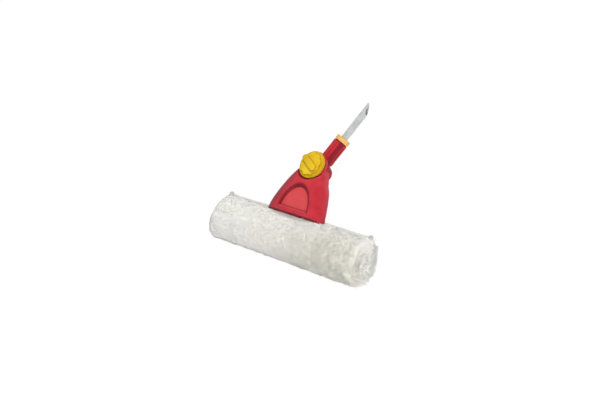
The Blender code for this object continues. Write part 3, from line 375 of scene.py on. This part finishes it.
def plastic(name, colour, light, dark, shade=None):
    """Moulded plastic: flow marks, a fine grain and rubbed patches. The call to shade may paint shade and
    light into its tone.
    """
    made = Surface(name, Specular_IOR_Level=0.20, IOR=1.49)
    flow = made.noise(38.0, 4.0, 0.55, distortion=0.6)
    speck = made.noise(420.0, 2.0)
    tone = made.ramp(flow, (0.30, dark), (0.52, colour), (0.74, light))
    tone = made.mix(made.span(speck, 0.0, 0.10), tone, dark)
    if shade:
        tone = shade(made, tone)
    made.set("Base Color", tone)
    rubbed = made.noise(70.0, 5.0, 0.6)
    made.set("Roughness", made.span(rubbed, 0.29, 0.48))
    grain = made.noise(2600.0, 2.0, 0.6)
    made.bumps((grain, 0.00005, 0.35), (flow, 0.0004, 0.10), edge=0.0004)
    return made.material


def plated(name, colour, dark, roughness, marks=ROUND_MARKS):
    """Plated or rolled metal, with drawn marks and cloudy patches in its polish."""
    made = Surface(name, Metallic=1.0)
    cloud = made.noise(140.0, 4.0, 0.6)
    drawn = made.noise(18.0, 5.0, 0.65, vector=made.stretched(marks))
    tone = made.ramp(cloud, (0.30, dark), (0.60, colour))
    tone = made.mix(made.span(drawn, 0.0, 0.35), tone, dark)
    made.set("Base Color", tone)
    made.set("Roughness", made.span(drawn, roughness - 0.06, roughness + 0.14))
    made.bumps((drawn, 0.00006, 0.35), (cloud, 0.0001, 0.12), edge=0.00025)
    return made.material


def weave_height(made, pitch):
    """Crossing threads of a tape, one up and one down, from two waves."""
    count = math.tau / pitch
    x, y, _ = made.axes(made.place)
    along = made.math("SINE", made.math("MULTIPLY", x, count))
    across = made.math("SINE", made.math("MULTIPLY", y, count))
    return made.math("MULTIPLY", along, across)


def tape_material():
    """Woven tape, a little dirty, with painted shade in the weave's hollows."""
    made = Surface("hem_tape", Roughness=0.9, Specular_IOR_Level=0.25, Sheen_Weight=0.25)
    weave = weave_height(made, THREAD_PITCH)
    tone = made.ramp(made.noise(120.0, 4.0), (0.30, TAPE_DARK), (0.70, TAPE_PALE))
    # Painted shade in the weave's hollows
    tone = made.mix(made.span(weave, 0.22, 0.0), tone, TAPE_HOLLOW_SHADE)
    made.set("Base Color", tone)
    fuzz = made.noise(1800.0, 3.0)
    made.bumps((weave, 0.00022, 0.6), (fuzz, 0.0001, 0.3))
    return made.material


def fleece_material():
    """Off-white pile, darker at its roots, that differs from lock to lock, darker and yellower toward its
    lower right, with painted shade in patches along its lower front edge.
    """
    made = Surface("fleece", Roughness=0.95, Specular_IOR_Level=0.12, Sheen_Weight=0.35, Sheen_Roughness=0.5)
    height = made.node("ShaderNodeAttribute", attribute_name="pile_height").outputs["Fac"]
    lock = made.node("ShaderNodeAttribute", attribute_name="pile_tone").outputs["Fac"]
    edge_shade = made.node("ShaderNodeAttribute", attribute_name="pile_edge_shade").outputs["Fac"]
    tone = made.ramp(height, (0.0, PILE_ROOTS), (0.45, PILE_MIDDLE), (1.0, PILE_TIPS))
    tone = made.mix(made.span(lock, 0.0, 0.22), tone, PILE_LOCK)
    patch = made.noise(28.0, 3.0)
    tone = made.mix(made.span(patch, 0.0, 0.16), tone, PILE_PATCH)
    # Darker and yellower toward the lower right, fading at the right end
    x, y, _ = made.axes(made.place)
    along = made.ramp(as_share(made, x, 3.5), (0.28, 0.0), (0.83, 1.0), (0.92, 0.7), (1.0, 0.1))
    low = made.ramp(as_share(made, y, 10.0), (0.52, 1.0), (0.70, 0.25))
    lower_right = made.math("MULTIPLY", made.math("MULTIPLY", along, low), made.span(patch, 0.42, 0.95))
    tone = made.mix(lower_right, tone, PILE_LOWER_RIGHT)
    # Painted shade in patches along the lower front edge
    blotch = made.ramp(made.noise(95.0, 4.0, 0.6), (0.32, 0.18), (0.62, 0.75))
    tone = made.mix(made.math("MULTIPLY", edge_shade, blotch), tone, PILE_EDGE_SHADE)
    made.set("Base Color", tone)
    twist = made.noise(900.0, 3.0, 0.6)
    made.bumps((twist, 0.0003, 0.4))
    return made.material


# Shading of the kept nodes

WELD_DISTANCE = 0.000002
SMOOTH_ANGLE = math.radians(33.0)


def soft_shading():
    """A modifier's node group: joins the split faces and shades them smooth up to an angle."""
    group = bpy.data.node_groups.new("soft_shading", "GeometryNodeTree")
    group.interface.new_socket("Geometry", in_out="INPUT", socket_type="NodeSocketGeometry")
    group.interface.new_socket("Geometry", in_out="OUTPUT", socket_type="NodeSocketGeometry")
    nodes, links = group.nodes, group.links
    source = nodes.new("NodeGroupInput")
    bare = nodes.new("GeometryNodeRemoveAttribute")
    bare.inputs["Name"].default_value = "custom_normal"
    links.new(source.outputs[0], bare.inputs["Geometry"])
    welded = nodes.new("GeometryNodeMergeByDistance")
    welded.inputs["Distance"].default_value = WELD_DISTANCE
    links.new(bare.outputs[0], welded.inputs["Geometry"])
    faces = nodes.new("GeometryNodeSetShadeSmooth")
    faces.domain = "FACE"
    links.new(welded.outputs[0], faces.inputs["Geometry"])
    angle = nodes.new("GeometryNodeInputMeshEdgeAngle")
    sharp = nodes.new("ShaderNodeMath")
    sharp.operation = "GREATER_THAN"
    sharp.inputs[1].default_value = SMOOTH_ANGLE
    links.new(angle.outputs["Unsigned Angle"], sharp.inputs[0])
    blunt = nodes.new("ShaderNodeMath")
    blunt.operation = "SUBTRACT"
    blunt.inputs[0].default_value = 1.0
    links.new(sharp.outputs[0], blunt.inputs[1])
    edges = nodes.new("GeometryNodeSetShadeSmooth")
    edges.domain = "EDGE"
    links.new(faces.outputs[0], edges.inputs["Geometry"])
    links.new(blunt.outputs[0], edges.inputs["Shade Smooth"])
    end = nodes.new("NodeGroupOutput")
    links.new(edges.outputs[0], end.inputs[0])
    return group


def dress(group, materials):
    """Each kept node gets its slot's material and soft shading."""
    for part in frame["record"]["subparts"]:
        node = NODES[part["node"]]
        node.data.materials.clear()
        node.data.materials.append(materials[part["material_slot"]])
        modifier = node.modifiers.new("soft_shading", "NODES")
        modifier.node_group = group


# Hems

HEM_LOW, HEM_HIGH, HEM_INNER = 0.0235, 0.0330, 0.0453
HEM_NEAR, HEM_FAR = 0.00015, 0.00215
HEM_EDGE = 0.0007
HEM_STEPS = 220
# The folded tape's side, as shares of HEM_EDGE drawn in and of the tape's thickness
HEM_PROFILE = (
    (1.0, 0.0), (0.3, 0.10), (0.0, 0.30), (0.0, 0.46), (0.35, 0.5),
    (0.0, 0.54), (0.0, 0.70), (0.3, 0.90), (1.0, 1.0),
)
HEM_WAVE, HEM_WAVE_ASIDE, HEM_LIFT = 0.00022, 0.8, 0.7

TAB_X, TAB_Y, TAB_RADIUS, TAB_HOLE = 0.1202, 0.0310, 0.0049, 0.0029
TAB_START_DEG, TAB_TURN_DEG, TAB_STEPS = -60, 200, 24

STITCH_PITCH, STITCH_LENGTH, STITCH_RADIUS = 0.0030, 0.0021, 0.00022
STITCH_START, STITCH_INSET, STITCH_BOW = 0.4, 0.0021, 0.00012
THREAD_SIDES = 6
# A stitch's thickness along its length
THREAD_STAGES = ((0.0, 0.35), (0.12, 0.9), (0.38, 1.0), (0.62, 1.0), (0.88, 0.9), (1.0, 0.35))


def hem_outline():
    """The tape's outline, evenly stepped: straight along the sleeve, with a round tab at its end."""
    corners = [(HEM_INNER, HEM_LOW), (TAB_X - TAB_RADIUS / 2, HEM_LOW)]
    for k in range(TAB_STEPS + 1):
        a = math.radians(TAB_START_DEG + TAB_TURN_DEG * k / TAB_STEPS)
        corners.append((TAB_X + TAB_RADIUS * math.cos(a), TAB_Y + TAB_RADIUS * math.sin(a)))
    corners += [(TAB_X - 1.5 * TAB_RADIUS, HEM_HIGH), (HEM_INNER, HEM_HIGH)]
    corners = np.array(corners)
    ends = np.vstack([corners, corners[:1]])
    lengths = np.linalg.norm(np.diff(ends, axis=0), axis=1)
    walked = np.concatenate([[0], np.cumsum(lengths)])
    at = np.linspace(0, walked[-1], HEM_STEPS, endpoint=False)
    return np.column_stack([np.interp(at, walked, ends[:, 0]), np.interp(at, walked, ends[:, 1])])


def inward(outline, depth):
    """The outline drawn in by depth along its own normals."""
    along = np.roll(outline, -1, axis=0) - np.roll(outline, 1, axis=0)
    along /= np.linalg.norm(along, axis=1)[:, None]
    return outline + depth * np.column_stack([-along[:, 1], along[:, 0]])


def thread(start, end, radius, bow):
    """A short thread between two points, bowed outward, as points and faces."""
    start, end, bow = Vector(start), Vector(end), Vector(bow)
    axis = (end - start).normalized()
    across = axis.cross(bow).normalized()
    out = across.cross(axis)
    sides = THREAD_SIDES
    points, faces = [], []
    for t, width in THREAD_STAGES:
        centre = start.lerp(end, t) + bow * math.sin(math.pi * t)
        for k in range(sides):
            a = math.tau * k / sides
            points.append(centre + radius * width * (math.cos(a) * across + math.sin(a) * out))
    for low in range(0, len(points) - sides, sides):
        for k in range(sides):
            n = (k + 1) % sides
            faces.append((low + k, low + n, low + sides + n, low + sides + k))
    faces.append(tuple(range(sides))[::-1])
    faces.append(tuple(range(len(points) - sides, len(points))))
    return points, faces


def tape_body():
    """The folded tape with soft edges and a hole in its tab, as points and faces."""
    outline = hem_outline()
    rise = HEM_FAR - HEM_NEAR
    levels = [(inward(outline, HEM_EDGE * depth), HEM_NEAR + rise * height) for depth, height in HEM_PROFILE]
    points = [(x, y, z) for shape, z in levels for x, y in shape]
    turn = np.arctan2(outline[:, 1] - TAB_Y, outline[:, 0] - TAB_X)
    hole = np.array((TAB_X, TAB_Y)) + TAB_HOLE * np.column_stack([np.cos(turn), np.sin(turn)])
    for share, height in ((0.5, 1.0), (1.0, 1.0), (1.0, 0.0), (0.5, 0.0)):
        start = levels[-1][0] if height else levels[0][0]
        shape = start * (1 - share) + hole * share
        points.extend((x, y, HEM_NEAR + rise * height) for x, y in shape)
    count = len(outline)
    loops = len(points) // count
    faces = []
    for k in range(loops):
        low, high = k * count, (k + 1) % loops * count
        for j in range(count):
            n = (j + 1) % count
            faces.append((low + j, low + n, high + n, high + j))
    return points, faces


def add_stitches(points, faces):
    """A row of stitches along the tape's outer face."""
    y = HEM_HIGH - STITCH_INSET
    for k in range(int((TAB_X - TAB_RADIUS - HEM_INNER) / STITCH_PITCH)):
        x = HEM_INNER + STITCH_PITCH * (k + STITCH_START)
        start, end = (x, y, HEM_FAR), (x + STITCH_LENGTH, y, HEM_FAR)
        more, more_faces = thread(start, end, STITCH_RADIUS, (0, 0, STITCH_BOW))
        faces.extend(tuple(i + len(points) for i in face) for face in more_faces)
        points.extend(tuple(p) for p in more)


def make_hem(name, node, side, front, material):
    """One tape of the four, a little wavy, on its side and face of the sleeve."""
    points, faces = tape_body()
    add_stitches(points, faces)
    placed = []
    for x, y, z in points:
        wave = HEM_WAVE * noise.noise(Vector((side * x * 60.0, y * 30.0, 3.0 if front else 7.0)))
        z = max(z + wave * (z > HEM_NEAR), HEM_NEAR * HEM_LIFT)
        placed.append((side * x, y + wave * HEM_WAVE_ASIDE, AXIS_Z + (z if front else -z)))
    if (side < 0) == front:
        faces = [face[::-1] for face in faces]
    piece = new_mesh(name, placed, faces)
    piece.data.materials.append(material)
    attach(piece, "head")
    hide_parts(node)


def make_hems(material):
    for word, side in (("left", -1), ("right", 1)):
        for place, front in (("front", True), ("rear", False)):
            make_hem(f"{place}_tape_{word}", f"{place}_hem_{word}", side, front, material)


# Fleece

HALF_LENGTH, HALF_HEIGHT, MIDDLE_Y = 0.1258, 0.03085, 0.00035
HALF_THICKNESS, TOP_TAPER, REST_DEPTH, AXIS_Z = 0.0205, 0.16, 0.0180, 0.018
END_ROUND, END_ROUND_RIGHT = 0.009, 0.010
BULGE_LEFT, BULGE_RIGHT, BULGE_LOW = 0.0022, 0.0058, 0.0062
BULGE_LUMP, BULGE_RINGS = 0.35, (0.8, 0.6, 0.4, 0.2)
# Each size of lump's pitch per metre, its height, and what is added to it at the worn end
LUMPS = ((70.0, 0.0005, 0.0012), (170.0, 0.0003, 0.0006))
LUMPS_WORN_FROM, LUMPS_WORN_OVER = 0.05, 0.07
BULGE_LUMP_PITCH = 130.0
CORE_RINGS, CORE_AROUND, END_CROWDING = 132, 96, 1.25
PILE_DEPTH = 0.0012

FAN_HALF_WIDTH, FAN_LIP, FOOT_CROWN = 0.0445, 0.0288, 0.0106
FOOT_SIDE_FADE, FOOT_LOW, FOOT_FADE = 0.005, 0.012, 0.006
FOOT_OVER_LIP, FOOT_UNDER_LIP = 0.001, 0.0022

TUFT_SPACING, END_SPACING, LOCK_SPACING = 0.00100, 0.00095, 0.0056
SCATTER_TRIES = 2.6
END_DEPTH = 0.004
MOUTH_LOW, MOUTH_HALF_WIDTH = 0.020, 0.0026
HOLDER_SIDE_MARGIN, HOLDER_LIP_MARGIN = 0.0006, 0.0012

TUFT_LENGTH, TUFT_CURL, TUFT_BOW = 0.0036, 0.0006, 0.20
TUFT_SIDES, TUFT_TWIST = 3, 0.5
# A tuft's radius along its length, up to its pointed tip
TUFT_STAGES = ((0.0, 0.00034), (0.40, 0.00040), (0.76, 0.00029))
PILE_SOFTNESS = 0.82

# The pile is new on the left and worn from WORN_FROM on; each pair is a value for new pile and what wear adds
WORN_FROM, WORN_OVER = -0.02, 0.12
SWIRL_LEAN, STRAY_LEAN, OWN_LEAN = (0.35, 0.30), (0.08, 0.10), (0.07, 0.15)
UPRIGHT, FULLNESS, DRAW = (0.36, 0.30), (0.75, 0.25), (0.25, 0.75)
SWIRL_PITCH = 45.0
DROOP, COMBED = np.array((0.0, -0.10, -0.08)), np.array((0.10, -0.75, 0.0))
FLARE = np.array((0.4, 0.2, 0.0))
LEAN_SHARE, LOCK_LENGTH, LOCK_UPRIGHT = 0.5, 0.85, 0.72

END_REACH, END_RAGGED = 0.1415, 0.002
LOWEST_Y, LOWEST_RAGGED = -0.0345, 0.0015
FLOOR_CLEARANCE = 0.0004
UNDER_SIDE, UNDER_DEPTH = 0.001, 0.010

# How much painted shade the pile gets by how far it faces up or down, then how that fades at the right end
EDGE_SHADE_FACING, EDGE_SHADE_SHARES = (-0.60, -0.25, 0.02, 0.34), (0.0, 1.0, 1.0, 0.0)
EDGE_SHADE_END, EDGE_SHADE_FADE, EDGE_SHADE_LEAST = 0.122, 0.02, 0.15


def limited(value):
    """A number kept from 0 to 1."""
    return min(1.0, max(0.0, value))


def rising(values, start, width):
    """0 up to start, then rising to 1 over width."""
    return np.clip((values - start) / width, 0, 1)


def by_wear(pair, worn):
    """A value for new pile, and what wear adds to it."""
    return pair[0] + pair[1] * worn


def sleeve_point(x_share, turn, inset):
    """A point of the sleeve's surface, sunk by inset: x_share from -1 to 1 along it, and turn round it."""
    reach = HALF_LENGTH - inset
    x = x_share * reach
    round_by = END_ROUND_RIGHT if x > 0 else END_ROUND
    into_end = max(0.0, abs(x) - (reach - round_by))
    shrink = inset + round_by - math.sqrt(max(0.0, round_by**2 - into_end**2))
    y = MIDDLE_Y + (HALF_HEIGHT - shrink) * math.cos(turn)
    z = (HALF_THICKNESS - shrink) * math.sin(turn) * (1 - TOP_TAPER * math.cos(turn))
    place = Vector((x, y, max(z, -REST_DEPTH + inset) + AXIS_Z))
    worn = limited((x - LUMPS_WORN_FROM) / LUMPS_WORN_OVER)
    lump = sum(noise.noise(place * pitch) * (height + more * worn) for pitch, height, more in LUMPS)
    return place + Vector((0, y, z)).normalized() * lump


def over_foot(point):
    """Lifts the body where it lies over the holder's buried foot, up to the lip."""
    beside = limited((FAN_HALF_WIDTH + FOOT_SIDE_FADE - abs(point.x)) / FOOT_SIDE_FADE)
    along = limited((point.y - FOOT_LOW) / FOOT_FADE)
    if point.z < AXIS_Z or point.y > FAN_LIP + FOOT_OVER_LIP or beside * along == 0.0:
        return point
    lift = (max(point.z, AXIS_Z + FOOT_CROWN) - point.z) * beside * along
    return Vector((point.x, min(point.y, FAN_LIP - FOOT_UNDER_LIP), point.z + lift))


def close_end(points, faces, side, start):
    """Closes one end of the body with a soft bulge, which hangs lower at the worn end."""
    around = CORE_AROUND
    edge = points[start:start + around]
    out, low_out = (BULGE_RIGHT, BULGE_LOW) if side > 0 else (BULGE_LEFT, 0.0)
    middle = sum(edge, Vector()) / around
    last = list(range(start, start + around))
    for share in BULGE_RINGS:
        ring = list(range(len(points), len(points) + around))
        for p in edge:
            low = max(0.0, (MIDDLE_Y - p.y) / HALF_HEIGHT) * share
            lump = 1 + BULGE_LUMP * noise.noise(p * BULGE_LUMP_PITCH)
            bulge = Vector((side * (out + low_out * low) * lump * (1 - share**3), 0, 0))
            points.append(middle.lerp(p, share) + bulge)
        for j in range(around):
            n = (j + 1) % around
            quad = (last[j], last[n], ring[n], ring[j])
            faces.append(quad if side > 0 else quad[::-1])
        last = ring
    points.append(middle + Vector((side * out, 0, 0)))
    for j in range(around):
        triangle = (last[j], last[(j + 1) % around], len(points) - 1)
        faces.append(triangle if side > 0 else triangle[::-1])


def sleeve_core():
    """The closed body under the pile, as vertices and faces, with soft lumps."""
    rings, around = CORE_RINGS, CORE_AROUND
    points, faces = [], []
    for k in range(rings):
        t = 2 * k / (rings - 1) - 1
        share = math.copysign(1 - (1 - abs(t)) ** END_CROWDING, t)
        for j in range(around):
            points.append(over_foot(sleeve_point(share, math.tau * j / around, PILE_DEPTH)))
    for k in range(rings - 1):
        low, high = k * around, (k + 1) * around
        for j in range(around):
            n = (j + 1) % around
            faces.append((low + j, low + n, high + n, high + j))
    close_end(points, faces, -1, 0)
    close_end(points, faces, 1, (rings - 1) * around)
    return points, faces


def new_mesh(name, points, faces):
    """A smooth-shaded piece from points and faces."""
    mesh = bpy.data.meshes.new(name)
    mesh.from_pydata([tuple(p) for p in points], [], faces)
    mesh.validate()
    mesh.shade_smooth()
    piece = bpy.data.objects.new(name, mesh)
    bpy.context.scene.collection.objects.link(piece)
    return piece


def point_values(mesh, name, values):
    """Keeps a number for each point, for a material to read."""
    made = mesh.attributes.new(name, "FLOAT", "POINT")
    made.data.foreach_set("value", np.asarray(values, np.float32))


def scattered(points, faces, spacing, random):
    """Points spread over a surface, none closer than spacing, with their normals."""
    at = np.array([tuple(p) for p in points])
    corners = []
    for face in faces:
        corners.extend((face[0], face[k], face[k + 1]) for k in range(1, len(face) - 1))
    corners = at[np.array(corners)]
    cross = np.cross(corners[:, 1] - corners[:, 0], corners[:, 2] - corners[:, 0])
    areas = np.linalg.norm(cross, axis=1) / 2
    whole = areas.sum()
    count = int(SCATTER_TRIES * whole / spacing**2)
    picked = random.choice(len(areas), count, p=areas / whole)
    r, q = random.random((2, count))
    flip = r + q > 1
    r[flip], q[flip] = 1 - r[flip], 1 - q[flip]
    where = corners[picked]
    found = where[:, 0] + r[:, None] * (where[:, 1] - where[:, 0]) + q[:, None] * (where[:, 2] - where[:, 0])
    normals = cross[picked] / (2 * areas[picked][:, None])
    cells, kept = {}, []
    keys = np.floor(found / spacing).astype(int)
    for k, (key, p) in enumerate(zip(map(tuple, keys), found, strict=True)):
        near = [
            cells.get((key[0] + a, key[1] + b, key[2] + c), ())
            for a in (-1, 0, 1) for b in (-1, 0, 1) for c in (-1, 0, 1)
        ]
        if all(((found[o] - p) ** 2).sum() > spacing**2 for group in near for o in group):
            cells.setdefault(key, []).append(k)
            kept.append(k)
    return found[kept], normals[kept]


def nearest(points, targets):
    """For each point, the number of the target nearest to it."""
    tree = KDTree(len(targets))
    for k, p in enumerate(targets):
        tree.insert(p, k)
    tree.balance()
    return np.array([tree.find(p)[1] for p in points])


def tuft_pattern(points_each):
    """One tuft's triangles: its sides from stage to stage, and its tip."""
    sides = TUFT_SIDES
    pattern = []
    for low in range(0, points_each - 1 - sides, sides):
        for k in range(sides):
            n = (k + 1) % sides
            pattern.append((low + k, low + n, low + sides + n))
            pattern.append((low + k, low + sides + n, low + sides + k))
    last = points_each - 1 - sides
    pattern.extend((last + k, last + (k + 1) % sides, points_each - 1) for k in range(sides))
    return np.array(pattern)


def grown(roots, tips, normals, length, random):
    """Tapered, slightly curled tufts from roots to tips: their points, heights and triangles."""
    count, sides = len(roots), TUFT_SIDES
    side = np.cross(tips - roots, normals + random.normal(0, 0.4, (count, 3)))
    side /= np.linalg.norm(side, axis=1)[:, None] + 1e-9
    curl = random.uniform(-1, 1, count)[:, None] * TUFT_CURL
    thick = random.uniform(0.85, 1.2, count)[:, None]
    points_each = len(TUFT_STAGES) * sides + 1
    verts = np.zeros((count, points_each, 3))
    heights = np.ones((count, points_each))
    for s, (t, radius) in enumerate(TUFT_STAGES):
        bow = normals * (length[:, None] * TUFT_BOW * math.sin(math.pi * t))
        centre = roots + (tips - roots) * t + (bow + side * curl * math.sin(math.tau * t))
        axis = tips - roots + normals * (length[:, None] * TUFT_BOW * math.pi * math.cos(math.pi * t))
        axis /= np.linalg.norm(axis, axis=1)[:, None]
        across = np.cross(axis, side)
        across /= np.linalg.norm(across, axis=1)[:, None] + 1e-9
        beside = np.cross(axis, across)
        for k in range(sides):
            a = math.tau * k / sides + TUFT_TWIST * s
            verts[:, s * sides + k] = centre + thick * radius * (math.cos(a) * across + math.sin(a) * beside)
            heights[:, s * sides + k] = t
    verts[:, -1] = tips
    verts[:, :, 2] = np.maximum(verts[:, :, 2], FLOOR_CLEARANCE)
    triangles = tuft_pattern(points_each)[None] + (np.arange(count) * points_each)[:, None, None]
    return verts, heights, triangles.reshape(-1, 3)


def softened(piece, lean_on, share):
    """Turns shading normals a share of the way to those of the surface below, as in dense pile."""
    own = np.zeros(len(piece.data.vertices) * 3, np.float32)
    piece.data.vertex_normals.foreach_get("vector", own)
    mixed = own.reshape(-1, 3) * (1 - share) + lean_on * share
    mixed /= np.linalg.norm(mixed, axis=1)[:, None] + 1e-9
    piece.data.normals_split_custom_set_from_vertices(mixed.tolist())


def lower_edge_shade(at, normals):
    """How much painted shade the pile gets, from its place and the way it faces: most along the lower front
    edge.
    """
    band = np.interp(normals[:, 2], EDGE_SHADE_FACING, EDGE_SHADE_SHARES)
    fade = np.clip((EDGE_SHADE_END - at[:, 0]) / EDGE_SHADE_FADE, EDGE_SHADE_LEAST, 1)
    return band * np.clip(-normals[:, 1] * 4 - 1, 0, 1) * fade


def tuft_roots(points, faces, random):
    """Tufts' roots and normals, denser at the right end, and none in the sleeve's mouth or the holder."""
    roots, normals = scattered(points, faces, TUFT_SPACING, random)
    right_end = [face for face in faces if points[face[0]].x > HALF_LENGTH - END_DEPTH]
    more, more_normals = scattered(points, right_end, END_SPACING, random)
    roots, normals = np.vstack([roots, more]), np.vstack([normals, more_normals])
    x, y, z = roots.T
    mouth = (y > MOUTH_LOW) & (np.abs(z - AXIS_Z) < MOUTH_HALF_WIDTH)
    holder = (np.abs(x) < FAN_HALF_WIDTH - HOLDER_SIDE_MARGIN) & (y > FAN_LIP - HOLDER_LIP_MARGIN)
    return roots[~mouth & ~holder], normals[~mouth & ~holder]


def lock_lean(roots, normals, random):
    """The way each lock leans along the sleeve: combed down where new, and in swirls where worn."""
    swirl = np.array([noise.noise_vector(Vector(p) * SWIRL_PITCH) for p in roots])
    worn = rising(roots[:, 0], WORN_FROM, WORN_OVER)[:, None]
    stray = random.normal(0, 1, (len(roots), 3))
    lean = swirl * by_wear(SWIRL_LEAN, worn) + stray * by_wear(STRAY_LEAN, worn)
    lean += DROOP + (1 - worn) * COMBED
    return lean - (lean * normals).sum(1)[:, None] * normals


def tuft_tips(roots, normals, lock_roots, lock_normals, lock_of, random):
    """Each tuft's tip and length: longer and wilder toward the worn end, and clear of the holder."""
    lean = lock_lean(lock_roots, lock_normals, random)
    count, x = len(roots), roots[:, 0]
    worn = rising(x, WORN_FROM, WORN_OVER)
    own = random.normal(0, 1, (count, 3)) * by_wear(OWN_LEAN, worn)[:, None]
    own -= (own * normals).sum(1)[:, None] * normals
    reach = TUFT_LENGTH * random.uniform(0.85, 1.1, count)
    at_end = rising(np.abs(x), HALF_LENGTH - END_ROUND, END_ROUND)
    bushy = at_end * (x > 0)
    below = np.clip(-roots[:, 1] / HALF_HEIGHT, 0, 1)
    bush = random.uniform(0.1, 0.7, count) + below * random.uniform(0.3, 1.4, count)
    reach *= 1 + 0.2 * at_end + bushy * bush
    rough = 0.10 + 0.22 * rising(x, 0.02, 0.1)
    rough += 0.55 * rising(x, 0.098, 0.02)
    rough += 0.45 * np.clip(-normals[:, 1] * 5 - 4, 0, 1)
    reach *= 1 + rough * (random.random(len(lock_roots)) ** 3)[lock_of]
    reach *= by_wear(FULLNESS, worn)
    flare = (bushy * (0.4 + 0.6 * below))[:, None] * FLARE
    way = normals * by_wear(UPRIGHT, worn)[:, None] + own + lean[lock_of] * LEAN_SHARE + flare
    tips = roots + reach[:, None] * way
    tips[:, 1] = np.maximum(tips[:, 1], LOWEST_Y + random.uniform(0, LOWEST_RAGGED, count))
    lock_tips = lock_roots + (TUFT_LENGTH * LOCK_LENGTH) * (lock_normals * LOCK_UPRIGHT + lean * LEAN_SHARE)
    draw = (random.uniform(0.10, 0.42, count) * (1 - at_end) * by_wear(DRAW, worn))[:, None]
    tips = tips * (1 - draw) + lock_tips[lock_of] * draw
    tips[:, 0] = np.minimum(tips[:, 0], END_REACH - random.uniform(0, END_RAGGED, count))
    under = (np.abs(x) < FAN_HALF_WIDTH + UNDER_SIDE) & (roots[:, 1] > FAN_LIP - UNDER_DEPTH)
    tips[under, 1] = np.minimum(tips[under, 1], FAN_LIP - HOLDER_LIP_MARGIN)
    return tips, reach


def make_core():
    """The plain closed body that the pile grows on, and its points and faces."""
    points, faces = sleeve_core()
    core = new_mesh("fleece_core", points, faces)
    normals = np.zeros(len(points) * 3, np.float32)
    core.data.vertex_normals.foreach_get("vector", normals)
    point_values(core.data, "pile_height", np.zeros(len(points)))
    point_values(core.data, "pile_tone", np.full(len(points), 0.5))
    point_values(core.data, "pile_edge_shade", lower_edge_shade(np.array(points), normals.reshape(-1, 3)))
    return core, points, faces


def make_fleece(material):
    """The pile: tufts that draw together in soft locks, in four pieces over one closed body."""
    random = np.random.default_rng(SEED)
    noise.seed_set(SEED)
    core, points, faces = make_core()
    roots, normals = tuft_roots(points, faces, random)
    lock_roots, lock_normals = scattered(points, faces, LOCK_SPACING, random)
    lock_of = nearest(roots, lock_roots)
    tips, reach = tuft_tips(roots, normals, lock_roots, lock_normals, lock_of, random)
    tone = random.uniform(0, 1, len(lock_roots))[lock_of] * 0.6 + random.uniform(0, 0.4, len(roots))
    edge_shade = lower_edge_shade(roots, normals)
    pieces = [core]
    front, left = roots[:, 2] >= AXIS_Z, roots[:, 0] < 0
    for name, chosen in (
        ("fleece_pile_front_left", front & left), ("fleece_pile_front_right", front & ~left),
        ("fleece_pile_back_left", ~front & left), ("fleece_pile_back_right", ~front & ~left),
    ):
        verts, heights, triangles = grown(roots[chosen], tips[chosen], normals[chosen], reach[chosen], random)
        each = verts.shape[1]
        pile = new_mesh(name, verts.reshape(-1, 3), triangles.tolist())
        point_values(pile.data, "pile_height", heights.ravel())
        point_values(pile.data, "pile_tone", np.repeat(tone[chosen], each))
        point_values(pile.data, "pile_edge_shade", np.repeat(edge_shade[chosen], each))
        softened(pile, np.repeat(normals[chosen], each, axis=0), PILE_SOFTNESS)
        pieces.append(pile)
    for piece in pieces:
        piece.data.materials.append(material)
        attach(piece, "head")
        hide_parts("fleece_sleeve")


def main():
    bpy.context.scene.view_settings.view_transform = "Standard"
    make_camera()
    make_world()
    make_floor()
    make_lamps()
    materials = {
        "red_plastic": plastic("red_plastic", *RED),
        # Painted shade on the yellow plastic's steep sides
        "yellow_plastic": plastic("yellow_plastic", *YELLOW, painted_side_shade(PAINTED_SHADE_YELLOW)),
        "grey_plastic": plastic("grey_plastic", *GREY),
        "stud_metal": plated("stud_metal", *STUD_METAL, 0.38),
        "tang_steel": plated("tang_steel", *TANG_STEEL, 0.36, LONG_MARKS),
        "zinc_steel": plated("zinc_steel", *ZINC_STEEL, 0.36),
        "hem_tape": tape_material(),
        "fleece": fleece_material(),
    }
    dress(soft_shading(), materials)
    # The shells get painted shade on the recess's walls, the lip's underside and the left flank, and painted
    # light on the recess's floor
    shell = plastic("red_plastic_shell", *RED, holder_painted_shade_and_light)
    for node, material in (
        ("fan_front_shell", shell),
        ("fan_rear_shell", shell),
        # Painted shade on the socket's steep sides
        ("handle_socket", plastic("red_plastic_socket", *SOCKET_RED, painted_side_shade(PAINTED_SHADE_SOCKET_RED))),
        ("collar_ring", plastic("yellow_plastic_collar", *COLLAR_YELLOW)),
    ):
        NODES[node].data.materials[0] = material
    make_hems(materials["hem_tape"])
    make_fleece(materials["fleece"])


main()
